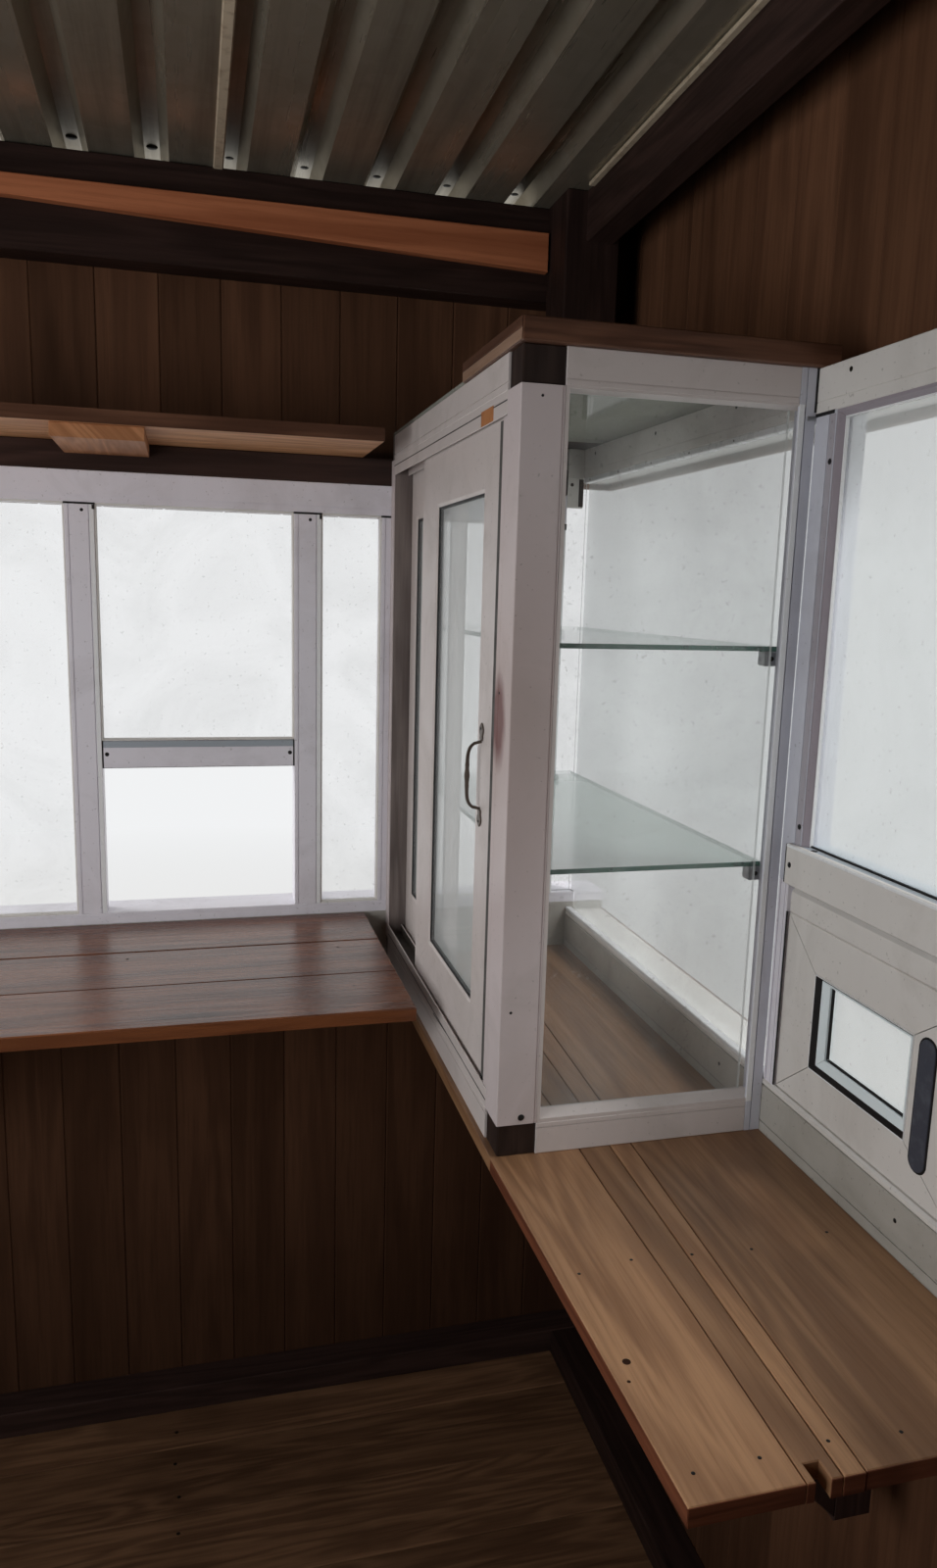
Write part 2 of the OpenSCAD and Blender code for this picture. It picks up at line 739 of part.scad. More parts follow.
// Folded aluminium round the post, with a lip over the near door, and a strip on the jamb
module case_post_covers() {
  z0 = counter_z + cover_gap;
  z1 = case_top - cover_gap;
  z2 = track_low + lip_h / 2 + door_clear + eps;
  z3 = track_high - lip_h / 2 - door_clear - eps;
  color("whitesmoke") difference() {
    union() {
      span([case_x, case_y, z0], [case_in_x, case_in_y, z1]);
      span([case_x, case_in_y - eps, z2], [case_x + cover_t, case_in_y + cover_lip, z3]);
      span([case_x, case_far_y, z0], [case_x + cover_t, win_y, z1]);
    }
    span([case_x + cover_t, case_y + cover_t, z0 - eps], [case_in_x + eps, case_in_y - cover_t, z1 + eps]);
  }
}

// Rails between the posts: near face, right end profile, left face
module case_rails() {
  near_y1 = case_y + frame_d;
  color("whitesmoke") {
    for (z = [counter_z, case_top - case_rail_h]) {
      span([case_in_x, case_y, z], [win_x, near_y1, z + case_rail_h]);
      span([case_x, case_in_y, z], [case_x + track_w, case_far_y, z + case_rail_h]);
    }
    span([win_x - case_end_w, case_y, counter_z], [win_x, near_y1, case_top]);
  }
}

// Lipped channels that the doors run in
module door_tracks() {
  low = counter_z + case_rail_h;
  high = case_top - case_rail_h;
  color("whitesmoke") {
    channel(low, low + lip_h / 2, low + lip_h);
    mirror_z(high) channel(high, high + lip_h / 2, high + lip_h);
  }
}

module channel(z0, z1, z2) {
  span([case_x, case_in_y, z0], [case_x + track_w, case_far_y, z1]);
  for (x = [case_x, near_door_x + door_t + door_clear, case_x + track_w - lip_t])
    span([x, case_in_y, z1 - eps], [x + lip_t, case_far_y, z2 + door_clear]);
}

module mirror_z(z) { translate([0, 0, z]) mirror([0, 0, 1]) translate([0, 0, -z]) children(); }

// The board covers the near part of the case and rests on the right header too
module case_top_board() {
  o = case_board_over;
  color([0.4, 0.25, 0.18])
    span([case_x - 4, case_y - o, case_top], [win_x + 22, case_y - o + case_board_d, case_top + case_board_t]);
}

// The near pane, and the panel behind the top board, notched round the corner post
module case_glass() {
  y = case_y + frame_d / 2;
  stub = plate_x - post_w - 2;
  y1 = case_y - case_board_over + case_board_d + 2;
  color([0.75, 0.85, 0.87, 0.4]) {
    span([case_in_x, y, counter_z + case_rail_h], [win_x - case_end_w, y + glass_t, case_top - case_rail_h]);
    difference() {
      span([case_x + 2, y1, case_top], [win_x + 18, win_y - 2, case_top + case_shelf_t]);
      span([stub, stub, case_top - eps], [out_x, out_y, case_top + case_shelf_t + eps]);
    }
  }
}

module case_shelves() {
  color([0.7, 0.85, 0.82, 0.5]) for (h = [case_shelf_1, case_shelf_2])
    span([case_x + track_w + 6, case_y + frame_d + 2, counter_z + h],
         [win_x - 2, win_y - 2, counter_z + h + case_shelf_t]);
}

// Blocks on the case frame and the window frame that carry the glass shelves
module case_shelf_clips() {
  y0 = case_y + frame_d;
  y1 = win_y - clip_w;
  color("silver") for (h = [case_shelf_1, case_shelf_2],
                       at = [[case_x + track_w, y0], [win_x - clip_w, y0],
                             [case_x + track_w, y1], [corner_x - clip_w, y1]])
    translate([at[0], at[1], counter_z + h - clip_w]) cube(clip_w);
}

// Frame of a sliding door of width w, with its near stile s and its far stile t
module slider(x, y, w, s, t) {
  difference() {
    translate([x, y, door_low]) cube([door_t, w, door_hgt]);
    translate([x - eps, y + s, door_low + door_rail_low])
      cube([door_t + 2 * eps, w - s - t, door_hgt - door_rail_low - door_rail_top]);
  }
}

module slider_glass(x, y, w, s, t) {
  translate([x + (door_t - door_glass_t) / 2, y + s, door_low + door_rail_low])
    cube([door_glass_t, w - s - t, door_hgt - door_rail_low - door_rail_top]);
}

module near_case_door() {
  color("whitesmoke") slider(near_door_x, near_door_y, near_door_w, stile_handle, stile_wide);
}
module near_case_door_glass() {
  color([0.75, 0.85, 0.87, 0.4]) slider_glass(near_door_x, near_door_y, near_door_w, stile_handle, stile_wide);
}
module far_case_door() {
  color("whitesmoke") slider(far_door_x, far_door_y, far_door_w, stile_mid, stile_thin);
}
module far_case_door_glass() {
  color([0.75, 0.85, 0.87, 0.4]) slider_glass(far_door_x, far_door_y, far_door_w, stile_mid, stile_thin);
}

// Bow handle: a straight grip, two quarter bends and a leaf-shaped foot at each end
module near_door_handle() {
  y = near_door_y + stile_handle - 26;
  z = counter_z + 440;
  bend = handle_reach - handle_d / 2;
  color([0.2, 0.17, 0.15]) translate([near_door_x, y, z]) {
    translate([-bend, 0, -handle_l / 2 + bend]) cylinder(d = handle_d, h = handle_l - 2 * bend);
    for (s = [-1, 1]) mirror([0, 0, s > 0 ? 0 : 1]) {
      translate([0, 0, handle_l / 2 - bend]) rotate([90, 0, 0]) rotate([0, 0, 90])
        rotate_extrude(angle = 90) translate([bend, 0]) circle(d = handle_d);
      translate([-2, 0, handle_l / 2 + 10]) rotate([0, 90, 0])
        scale([1.3, 1, 1]) cylinder(d = 18, h = 2);
    }
  }
}

base_bearers();
floor_deck();
corner_posts();
sole_plates();
wall_girts();
top_plates();
side_rafters();
roof_purlin();
roof_sheet_left();
roof_sheet_middle();
roof_sheet_right();
front_rail();
front_lintel();
front_wall();
right_wall();
left_wall();
rear_wall();
door_frame();
entrance_door();
door_hinges();
window_headers();
sill_rail();
window_sills();
window_mullions();
window_transoms();
window_glass();
right_sashes();
front_counter();
right_counter();
counter_supports();
wall_shelf();
shelf_cleats();
case_posts();
case_post_covers();
case_rails();
door_tracks();
case_top_board();
case_glass();
case_shelves();
case_shelf_clips();
near_case_door();
near_case_door_glass();
near_door_handle();
far_case_door();
far_case_door_glass();
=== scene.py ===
"""Looks of the street kiosk: boards, timbers, roof sheets, windows, counters and the display case."""
import logging
import math
import random
from dataclasses import dataclass
from enum import Enum
from typing import Any, Callable, Optional, Sequence

import bpy
import numpy as np
from mathutils import Matrix, Vector


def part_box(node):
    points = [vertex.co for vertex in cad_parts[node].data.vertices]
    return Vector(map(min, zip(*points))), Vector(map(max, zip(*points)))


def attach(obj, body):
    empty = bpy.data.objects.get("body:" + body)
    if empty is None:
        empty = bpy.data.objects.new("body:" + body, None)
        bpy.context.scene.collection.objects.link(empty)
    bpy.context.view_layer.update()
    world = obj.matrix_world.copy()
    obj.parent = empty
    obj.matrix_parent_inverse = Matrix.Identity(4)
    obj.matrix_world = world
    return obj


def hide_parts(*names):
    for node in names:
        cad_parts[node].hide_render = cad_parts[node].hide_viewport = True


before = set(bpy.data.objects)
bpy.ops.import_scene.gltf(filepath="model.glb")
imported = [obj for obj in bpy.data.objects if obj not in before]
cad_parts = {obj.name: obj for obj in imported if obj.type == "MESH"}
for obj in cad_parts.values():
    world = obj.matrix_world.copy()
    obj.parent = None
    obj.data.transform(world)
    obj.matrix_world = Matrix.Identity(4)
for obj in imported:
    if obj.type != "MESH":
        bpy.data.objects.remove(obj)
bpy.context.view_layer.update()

LOG = logging.getLogger("kiosk")
DICE = random.Random(7)
Point = tuple[float, float, float]
Flat = tuple[float, float]
Colour = tuple[float, float, float]
Warp = Callable[[Point], Point]
Box = tuple[Vector, Vector]
Faces = list[tuple[int, ...]]
Socket = bpy.types.NodeSocket

HUT = "hut"
NEAR_DOOR = "near_door"
FAR_DOOR = "far_door"
TILT = math.tan(math.radians(1.5))
FRONT_Y = 1.204
ROOF_Z = 2.341
BACKDROP = (0.88, 0.89, 0.9)
# Cut edges of seals and lines, of drawn or folded metal, and of planed timber.
FINE, CRISP, PLANED = 0.0002, 0.0004, 0.002


class Axis(Enum):
    """The direction that a timber or a profile runs in."""

    X = 0
    Y = 1
    Z = 2

    def others(self) -> list[int]:
        """The two other axes, in X, Y, Z order."""
        return [k for k in range(3) if k != self.value]

    def point(self, level: float, u: float, v: float) -> Point:
        """A point from its place along this axis and along the two others."""
        place = (u, v)
        return (*place[:self.value], level, *place[self.value:])


class Facing(Enum):
    """The way that the head of a screw or nail faces."""

    UP = (0, 0, 1)
    DOWN = (0, 0, -1)
    STREET = (0, 1, 0)
    REAR = (0, -1, 0)
    LEFT = (-1, 0, 0)


class Side(Enum):
    """The side of an outline that its slots are in: the low side along its first or second axis."""

    U = 0
    V = 1


def srgb(*channels: int) -> Colour:
    """The linear colour of red, green and blue from 0 to 255."""
    shares = (value / 255 for value in channels)
    return tuple(s / 12.92 if s <= 0.04045 else ((s + 0.055) / 1.055) ** 2.4 for s in shares)


def dimmed(colour: Colour, share: float) -> Colour:
    """A colour made darker."""
    return tuple(c * share for c in colour)


def roof_under(y: float) -> float:
    """Height of the roof's underside at a depth."""
    return ROOF_Z + (FRONT_Y - y) * TILT


def under_roof(point: Point) -> Point:
    """Moves a point down to the roof's underside where it is over it."""
    return point[0], point[1], min(point[2], roof_under(point[1]))


def hung(drop: float) -> Warp:
    """A warp that hangs a level shape along the roof's slope, at a drop under it."""
    return lambda p: (p[0], p[1], roof_under(p[1]) - drop + p[2])


class Graph:
    """A node tree in the making, where one call makes a node, sets it and feeds it."""

    def __init__(self, tree: bpy.types.NodeTree) -> None:
        """Takes the tree to fill."""
        self.tree = tree

    def feed(self, socket: Socket, value: Any) -> None:
        """Links a socket or sets its value.

        Args:
            socket: The input socket.
            value: An output socket, a number or a colour.
        """
        if isinstance(value, bpy.types.NodeSocket):
            self.tree.links.new(value, socket)
        elif isinstance(value, tuple) and len(value) == 3 and socket.type == "RGBA":
            socket.default_value = (*value, 1.0)
        else:
            socket.default_value = value

    def node(self, kind: str, inputs: Optional[dict[Any, Any]] = None, **settings: Any) -> bpy.types.Node:
        """Makes a node.

        Args:
            kind: Its type.
            inputs: Values or sockets, by input index or by the name of an input in use.
            settings: Its properties.

        Returns:
            The node.
        """
        made = self.tree.nodes.new(kind)
        for key, value in settings.items():
            setattr(made, key, value)
        for key, value in (inputs or {}).items():
            self.feed(made.inputs[key] if isinstance(key, int) else next(
                s for s in made.inputs if s.name == key and s.enabled), value)
        return made

    def math(self, operation: str, first: Any, second: Any = 0.5) -> Socket:
        """A sum on two values."""
        return self.node("ShaderNodeMath", {0: first, 1: second}, operation=operation).outputs[0]

    def vector(self, operation: str, first: Any, second: Any) -> Socket:
        """A sum on two vectors."""
        made = self.node("ShaderNodeVectorMath", {0: first, 1: second}, operation=operation)
        return made.outputs["Value" if operation == "LENGTH" else "Vector"]

    def seen(self) -> Socket:
        """Finds what meets the eye.

        Returns:
            One for rays from the camera, off a reflection and through a pane, and nothing for others.
        """
        path = self.node("ShaderNodeLightPath")
        first = self.math("MAXIMUM", path.outputs["Is Camera Ray"], path.outputs["Is Glossy Ray"])
        return self.math("MAXIMUM", first, path.outputs["Is Transmission Ray"])


class Shade(Graph):
    """One material's node graph, with short calls for the nodes that the finishes share."""

    def __init__(self, name: str) -> None:
        """Starts a material with one Principled shader.

        Args:
            name: The material's name.
        """
        self.material = bpy.data.materials.new(name)
        self.material.use_nodes = True
        super().__init__(self.material.node_tree)
        self.tree.nodes.clear()
        self.out, self.bsdf = self.node("ShaderNodeOutputMaterial"), self.node("ShaderNodeBsdfPrincipled")
        self.tree.links.new(self.bsdf.outputs["BSDF"], self.out.inputs["Surface"])

    def set(self, **values: Any) -> None:
        """Feeds the Principled shader's sockets, named with underscores for spaces."""
        for key, value in values.items():
            self.feed(self.bsdf.inputs[key.replace("_", " ")], value)

    def place(self) -> Socket:
        """Object coordinates."""
        return self.node("ShaderNodeTexCoord").outputs["Object"]

    def attribute(self, name: str, output: str) -> Socket:
        """One output of a mesh attribute."""
        return self.node("ShaderNodeAttribute", attribute_name=name).outputs[output]

    def noise(self, place: Any, scale: float, detail: float = 4, rough: float = 0.5, bend: float = 0) -> Socket:
        """Noise from 0 to 1 at a place."""
        return self.node("ShaderNodeTexNoise", {"Vector": place, "Scale": scale, "Detail": detail,
                                                "Roughness": rough, "Distortion": bend}).outputs["Fac"]

    def cells(self, place: Any, scale: float, output: str = "Distance") -> Socket:
        """Distance to the nearest cell point, or the cell's colour."""
        return self.node("ShaderNodeTexVoronoi", {"Vector": place, "Scale": scale}).outputs[output]

    def span(self, value: Any, low: float, high: float, out_low: float = 0, out_high: float = 1) -> Socket:
        """A value moved from one range to another, and held to it."""
        return self.node("ShaderNodeMapRange", {"Value": value, "From Min": low, "From Max": high,
                                                "To Min": out_low, "To Max": out_high}).outputs["Result"]

    def even(self, kind: str, value: Any) -> Socket:
        """A colour or vector with one value in all its parts."""
        return self.node(kind, {0: value, 1: value, 2: value}).outputs[0]

    def mix(self, share: Any, first: Any, second: Any, way: str = "MIX") -> Socket:
        """A mix of two colours."""
        made = self.node("ShaderNodeMix", {0: share, 6: first, 7: second}, data_type="RGBA", blend_type=way)
        return made.outputs[2]

    def over(self, body: Any, value: Any, low: float, high: float, share: float, colour: Colour) -> Socket:
        """Lays a colour over a body's, up to a share, where a value rises through a range."""
        return self.mix(self.span(value, low, high, 0, share), body, colour)

    def bump(self, height: Any, strength: float, depth: float) -> None:
        """Gives the shader a bump of a real depth in metres."""
        made = self.node("ShaderNodeBump", {"Height": height, "Strength": strength, "Distance": depth})
        self.set(Normal=made.outputs["Normal"])


MADE: dict[str, bpy.types.Material] = {}


@dataclass(frozen=True)
class Finish:
    """A finish: its name and the record's material slot that it stands for."""

    name: str
    slot: str

    def paint(self, shade: Shade) -> None:
        """Fills the material's graph."""

    def material(self) -> bpy.types.Material:
        """Gives the material, which is made once.

        Returns:
            The material.
        """
        if self.name not in MADE:
            shade = Shade(self.name)
            self.paint(shade)
            MADE[self.name] = shade.material
        return MADE[self.name]


@dataclass(frozen=True)
class Wood(Finish):
    """Sawn or varnished timber. The grain follows the piece's own grain and tone attributes."""

    light: Colour = (0.5, 0.3, 0.15)
    dark: Colour = (0.2, 0.1, 0.05)
    gloss: float = 0.6
    rings: float = 9
    knots: float = 0.0
    spread: float = 0.35
    dirt: float = 0.25
    depth: float = 0.0006
    darkening: Optional[tuple[int, float, float, float]] = None

    def paint(self, shade: Shade) -> None:
        """Paints rings, fibres, knots, board to board tone, dirt and a darkening that grows along an axis.

        Args:
            shade: The material's graph.
        """
        tone = shade.attribute("tone", "Fac")
        shift = shade.vector("MULTIPLY", shade.even("ShaderNodeCombineXYZ", tone), (17.3, 11.9, 23.1))
        grain = shade.vector("ADD", shade.attribute("grain", "Vector"), shift)
        flow = shade.vector("MULTIPLY", grain, (0.7, 7.0, 1.0))
        knot_at = shade.cells(shade.vector("MULTIPLY", grain, (1.5, 6.5, 1.0)), 1.0)
        swirl = shade.math("MULTIPLY", shade.span(knot_at, 0.05, 0.42, 1, 0), self.knots * 0.55)
        years = shade.math("ADD", shade.noise(flow, 1.6, 3, 0.55, 0.6), swirl)
        wave = shade.math("SINE", shade.math("MULTIPLY", years, self.rings * 6.283))
        rings = shade.span(wave, -1, 1)
        fibre = shade.noise(shade.vector("MULTIPLY", grain, (6, 150, 1)), 1.0, 6, 0.7)
        blotch = shade.noise(shade.place(), 3.1, 4, 0.6)
        body = shade.mix(shade.math("MULTIPLY", rings, 0.55), self.light, self.dark)
        body = shade.over(body, fibre, 0.45, 0.75, 0.6, self.dark)
        body = shade.mix(shade.span(knot_at, 0.045, 0.11, self.knots, 0), body, dimmed(self.dark, 0.25))
        lit = shade.span(tone, 0, 1, 1 - self.spread, 1 + self.spread)
        body = shade.mix(1.0, body, shade.even("ShaderNodeCombineColor", lit), "MULTIPLY")
        body = shade.over(body, blotch, 0.5, 0.8, self.dirt, dimmed(self.dark, 0.35))
        # A darkening along one axis: painted shade towards the case on the right counter; on the wall boards,
        # darker towards the bottom.
        if self.darkening:
            axis, start, end, share = self.darkening
            parts = shade.node("ShaderNodeSeparateXYZ", {0: shade.place()}).outputs
            body = shade.over(body, parts[axis], start, end, share, dimmed(self.dark, 0.3))
        shade.set(Base_Color=body, Roughness=shade.span(fibre, 0.3, 0.8, self.gloss - 0.08, self.gloss + 0.14))
        shade.bump(shade.math("ADD", shade.math("MULTIPLY", rings, 0.4), fibre), 0.55, self.depth)


@dataclass(frozen=True)
class Coated(Finish):
    """White coated aluminium with handling grime, runs and fine specks."""

    tint: Colour = (0.72, 0.72, 0.72)
    grime: Colour = (0.32, 0.29, 0.25)
    dirt: float = 0.35
    gloss: float = 0.34
    rust_at: Optional[Point] = None

    def paint(self, shade: Shade) -> None:
        """Paints smears, vertical runs, specks and, where asked, one rust stain.

        Args:
            shade: The material's graph.
        """
        place = shade.place()
        smear = shade.noise(place, 7, 5, 0.62, 0.8)
        runs = shade.noise(shade.vector("MULTIPLY", place, (15, 15, 1.4)), 1, 3, 0.5)
        specks = shade.noise(place, 190, 2, 0.5)
        body = shade.mix(shade.math("MULTIPLY", shade.span(smear, 0.47, 0.78), self.dirt), self.tint, self.grime)
        body = shade.over(body, runs, 0.55, 0.8, self.dirt * 0.4, self.grime)
        body = shade.over(body, specks, 0.68, 0.74, self.dirt, dimmed(self.grime, 0.4))
        if self.rust_at:
            gap = shade.vector("MULTIPLY", shade.vector("SUBTRACT", place, self.rust_at), (21, 21, 10))
            away = shade.math("ADD", shade.vector("LENGTH", gap, (0, 0, 0)), shade.math("MULTIPLY", smear, 0.9))
            body = shade.mix(shade.span(away, 1.0, 3.4, 0.4, 0), body, srgb(150, 116, 100))
            body = shade.mix(shade.span(away, 0.8, 1.12, 0.97, 0), body, srgb(100, 36, 26))
        shade.set(Base_Color=body, Metallic=0.0,
                  Roughness=shade.span(smear, 0.3, 0.8, self.gloss, self.gloss + 0.25))
        shade.bump(shade.math("ADD", shade.math("MULTIPLY", specks, 0.3), smear), 0.12, 0.0004)


@dataclass(frozen=True)
class Zinc(Finish):
    """Dull zinc coated sheet with spangle, water streaks along the slope and rust in the stains."""

    tint: Colour = (0.41, 0.365, 0.28)

    def paint(self, shade: Shade) -> None:
        """Paints spangle, streaks, stains and rust.

        Args:
            shade: The material's graph.
        """
        place = shade.place()
        flake = shade.node("ShaderNodeSeparateColor", {0: shade.cells(place, 46, "Color")}).outputs[0]
        streak = shade.noise(shade.vector("MULTIPLY", place, (24, 1.1, 4)), 1, 5, 0.62)
        darkening = shade.noise(place, 3.3, 5, 0.6, 0.7)
        body = shade.over(self.tint, flake, 0, 1, 0.28, (0.56, 0.52, 0.44))
        body = shade.over(body, streak, 0.5, 0.72, 0.6, (0.17, 0.14, 0.10))
        body = shade.over(body, darkening, 0.55, 0.75, 0.5, (0.25, 0.2, 0.14))
        rust = shade.math("MULTIPLY", shade.span(darkening, 0.66, 0.8), shade.span(streak, 0.55, 0.7))
        body = shade.mix(rust, body, srgb(120, 66, 38))
        shade.set(Base_Color=body, Metallic=0.6, Roughness=shade.span(streak, 0.35, 0.75, 0.22, 0.5))
        shade.bump(shade.math("ADD", streak, shade.math("MULTIPLY", flake, 0.4)), 0.2, 0.0008)


@dataclass(frozen=True)
class Glazing(Finish):
    """Glass with dust and smears. Its alpha holds how much of it shows, and rises at a glancing angle."""

    tint: Colour = (0.78, 0.82, 0.82)
    clear: float = 0.05
    dusty: float = 0.15
    mirror: float = 0.6

    def paint(self, shade: Shade) -> None:
        """Paints dust in smears, specks and a stronger reflection at a glancing angle.

        Args:
            shade: The material's graph.
        """
        place = shade.place()
        smear = shade.noise(place, 5, 6, 0.62, 1.2)
        specks = shade.noise(place, 150, 2, 0.5)
        dust = shade.math("ADD", shade.span(smear, 0.4, 0.75, self.clear, self.dusty),
                          shade.span(specks, 0.66, 0.76, 0, 0.2))
        glance = shade.node("ShaderNodeFresnel", {"IOR": 1.45})
        shine = shade.math("MULTIPLY", glance.outputs[0], self.mirror)
        shade.set(Base_Color=self.tint, Roughness=0.04, IOR=1.6, Alpha=shade.math("MAXIMUM", dust, shine))


@dataclass(frozen=True)
class Plain(Finish):
    """Rubber, iron, steel or plastic: one colour broken up by wear."""

    tint: Colour = (0.05, 0.05, 0.05)
    worn: Colour = (0.12, 0.12, 0.12)
    metal: float = 0.0
    gloss: float = 0.5

    def paint(self, shade: Shade) -> None:
        """Paints worn patches and fine pits.

        Args:
            shade: The material's graph.
        """
        place = shade.place()
        wear = shade.noise(place, 60, 5, 0.6)
        pits = shade.noise(place, 420, 2, 0.5)
        body = shade.mix(shade.span(wear, 0.5, 0.75), self.tint, self.worn)
        shade.set(Base_Color=body, Metallic=self.metal,
                  Roughness=shade.span(wear, 0.3, 0.8, self.gloss, self.gloss + 0.2))
        shade.bump(pits, 0.2, 0.0003)


BEARER = Wood("bearer_wood", "bearer_timber", srgb(118, 92, 70), srgb(66, 48, 36), 0.8, 7, 0.4, 0.2, 0.5, 0.001)
FLOOR = Wood("floor_wood", "floor_timber", srgb(134, 100, 74), srgb(74, 50, 36), 0.6, 8, 0.5, 0.25, 0.5)
DARK = Wood("dark_wood", "frame_timber", srgb(62, 46, 42), srgb(36, 27, 25), 0.62, 7, 0.3, 0.2, 0.3)
PALE = Wood("pale_wood", "pale_timber", srgb(196, 140, 100), srgb(140, 90, 58), 0.6, 6, 0.4, 0.1, 0.15)
RAIL = Wood("rail_wood", "pale_timber", srgb(200, 126, 88), srgb(150, 84, 54), 0.6, 4, 0.2, 0.05, 0.1)
BOARDS = Wood("board_wood", "cladding_timber", srgb(120, 84, 62), srgb(80, 54, 40), 0.42, 3, 0.2, 0.26, 0.3,
              darkening=(2, 1.15, 0.3, 0.55))
# The front wall's boards: a darker copy of the board wood, which is painted shade.
SHADED_FRONT_BOARDS = Wood("front_board_wood", "cladding_timber", srgb(106, 74, 55), srgb(70, 47, 35), 0.42, 3, 0.2, 0.24,
                    0.32, darkening=(2, 1.15, 0.3, 0.5))
LEAF = Wood("leaf_wood", "door_timber", srgb(112, 72, 50), srgb(70, 40, 28), 0.42, 4, 0.25, 0.2, 0.3)
DARK_COUNTER = Wood("front_counter_wood", "front_counter_timber", srgb(132, 80, 50), srgb(70, 38, 25), 0.27, 4,
                    0.6, 0.16, 0.25)
# The right counter darkens towards the case along Y: painted shade.
BARE_COUNTER = Wood("right_counter_wood", "right_counter_timber", srgb(188, 144, 106), srgb(126, 88, 62), 0.5,
                    5, 0.8, 0.34, 0.3, darkening=(1, 0.0, 0.45, 0.5))
# Brown end grain; also the right counter's dark left side, partly painted shade.
END_GRAIN_AND_SHADE = Wood("end_grain_wood", "right_counter_timber", srgb(122, 72, 50), srgb(78, 42, 30), 0.7, 12, 0.0,
                 0.2, 0.4)
SAWN_EDGE = Wood("sawn_edge_wood", "case_board_timber", srgb(168, 138, 118), srgb(128, 98, 78), 0.7, 8, 0.0,
                 0.1, 0.3)
SHELF = Wood("shelf_wood", "shelf_timber", srgb(214, 162, 118), srgb(156, 104, 68), 0.55, 7, 0.5, 0.1, 0.25)
CASE_CORE = Wood("case_wood", "case_timber", srgb(52, 40, 36), srgb(28, 21, 19), 0.6, 7, 0.2, 0.1, 0.3)
CASE_BOARD = Wood("case_board_wood", "case_board_timber", srgb(112, 78, 60), srgb(62, 38, 28), 0.6, 8, 0.5, 0.1,
                  0.35)
# A lighter copy of the case's dark wood for the far jamb's core: painted reflection.
LIT_JAMB_CORE = Wood("jamb_wood", "case_timber", srgb(128, 118, 114), srgb(88, 78, 76), 0.4, 5, 0.1, 0.1, 0.3)
WHITE = Coated("white_coat", "white_aluminium", srgb(222, 219, 215))
WHITE_RUSTY = Coated("white_coat_rusty", "white_aluminium", srgb(208, 197, 197), rust_at=(0.779, 0.437, 1.545))
FRONT_WHITE = Coated("front_white_coat", "white_aluminium", srgb(232, 230, 238), srgb(132, 124, 120), 0.3)
CASE_WHITE = Coated("case_white_coat", "white_aluminium", srgb(208, 199, 196))
# A bluish grey copy of the white coat: painted shade on the right mullions and the case's near end profile.
SHADED_COOL_WHITE = Coated("cool_white_coat", "white_aluminium", srgb(202, 204, 214), srgb(128, 120, 124), 0.3, 0.3)
# A darker lilac copy of the white coat: painted shade on the right mullion's channel above the transom.
SHADED_CHANNEL = Coated("dim_channel", "white_aluminium", srgb(172, 168, 176), srgb(104, 94, 98), 0.4, 0.4)
# A lighter copy of the white coat for thin strips along edges: painted highlights.
PAINTED_HIGHLIGHT = Coated("bright_bead", "white_aluminium", srgb(238, 240, 242), srgb(150, 146, 140), 0.15, 0.2)
# A brightened copy of the white coat for the sash's inner bevel: painted light.
LIT_BEVEL = Coated("blue_white_bevel", "white_aluminium", srgb(238, 251, 255), srgb(186, 198, 206), 0.08, 0.22)
# A purple-grey copy of the white coat: painted shade on the bead over the right transom.
SHADED_PURPLE_GREY = Coated("purple_grey_bead", "white_aluminium", srgb(158, 150, 158), srgb(104, 98, 98), 0.2, 0.3)
# A blue-grey copy of the white coat: painted shade on the transoms' tops and the box behind the right transom.
SHADED_BLUE_GREY = Coated("blue_grey_bead", "white_aluminium", srgb(166, 175, 184), srgb(120, 118, 114), 0.2, 0.26)
DIRTY = Coated("dirty_channel", "white_aluminium", srgb(70, 64, 58), srgb(36, 30, 26), 0.6, 0.6)
SILL = Coated("sill_coat", "sill_aluminium", srgb(174, 171, 164), srgb(106, 98, 86), 0.4, 0.4)
ROOF = Zinc("roof_zinc", "roof_steel")
CLEAR = Glazing("window_pane", "clear_glass")
TOP_PANEL = Glazing("case_top_pane", "clear_glass", srgb(214, 216, 204), clear=0.4, dusty=0.6, mirror=1.0)
SHELF_GLASS = Glazing("shelf_pane", "shelf_glass", srgb(196, 214, 208), 0.14, 0.34)
GLASS_EDGE = Glazing("shelf_edge", "shelf_glass", srgb(70, 120, 104), 0.75, 0.9)
# A dark strip by the near post's lip: painted shadow of the recess beside the door.
SHADOW_STRIP = Plain("brush_strip", "clip_metal", srgb(86, 84, 82), srgb(60, 58, 56), 0, 0.7)
# Dark rubber for seals, caps and screws; also thin dark strips that paint shadow in gaps and seams.
RUBBER_AND_SHADOW = Plain("gasket_rubber", "clip_metal", srgb(26, 26, 27), srgb(48, 48, 48), 0, 0.55)
IRON = Plain("handle_iron", "handle_iron", srgb(104, 94, 86), srgb(66, 52, 44), 0.35, 0.38)
BLACK = Plain("hinge_black", "hinge_steel", srgb(30, 30, 31), srgb(70, 52, 42), 0.5, 0.5)
SCREW = Plain("screw_steel", "clip_metal", srgb(64, 60, 56), srgb(110, 100, 88), 0.8, 0.4)
CLIP = Plain("clip_steel", "clip_metal", srgb(170, 172, 174), srgb(120, 120, 122), 0.8, 0.3)
KNOT = Plain("open_knot", "right_counter_timber", srgb(42, 24, 15), srgb(70, 42, 27), 0, 0.8)
PULL = Plain("pull_cup", "clip_metal", srgb(74, 78, 90), srgb(102, 106, 116), 0.2, 0.4)
PATCH = Plain("tan_patch", "white_aluminium", srgb(176, 118, 74), srgb(150, 96, 58), 0, 0.6)
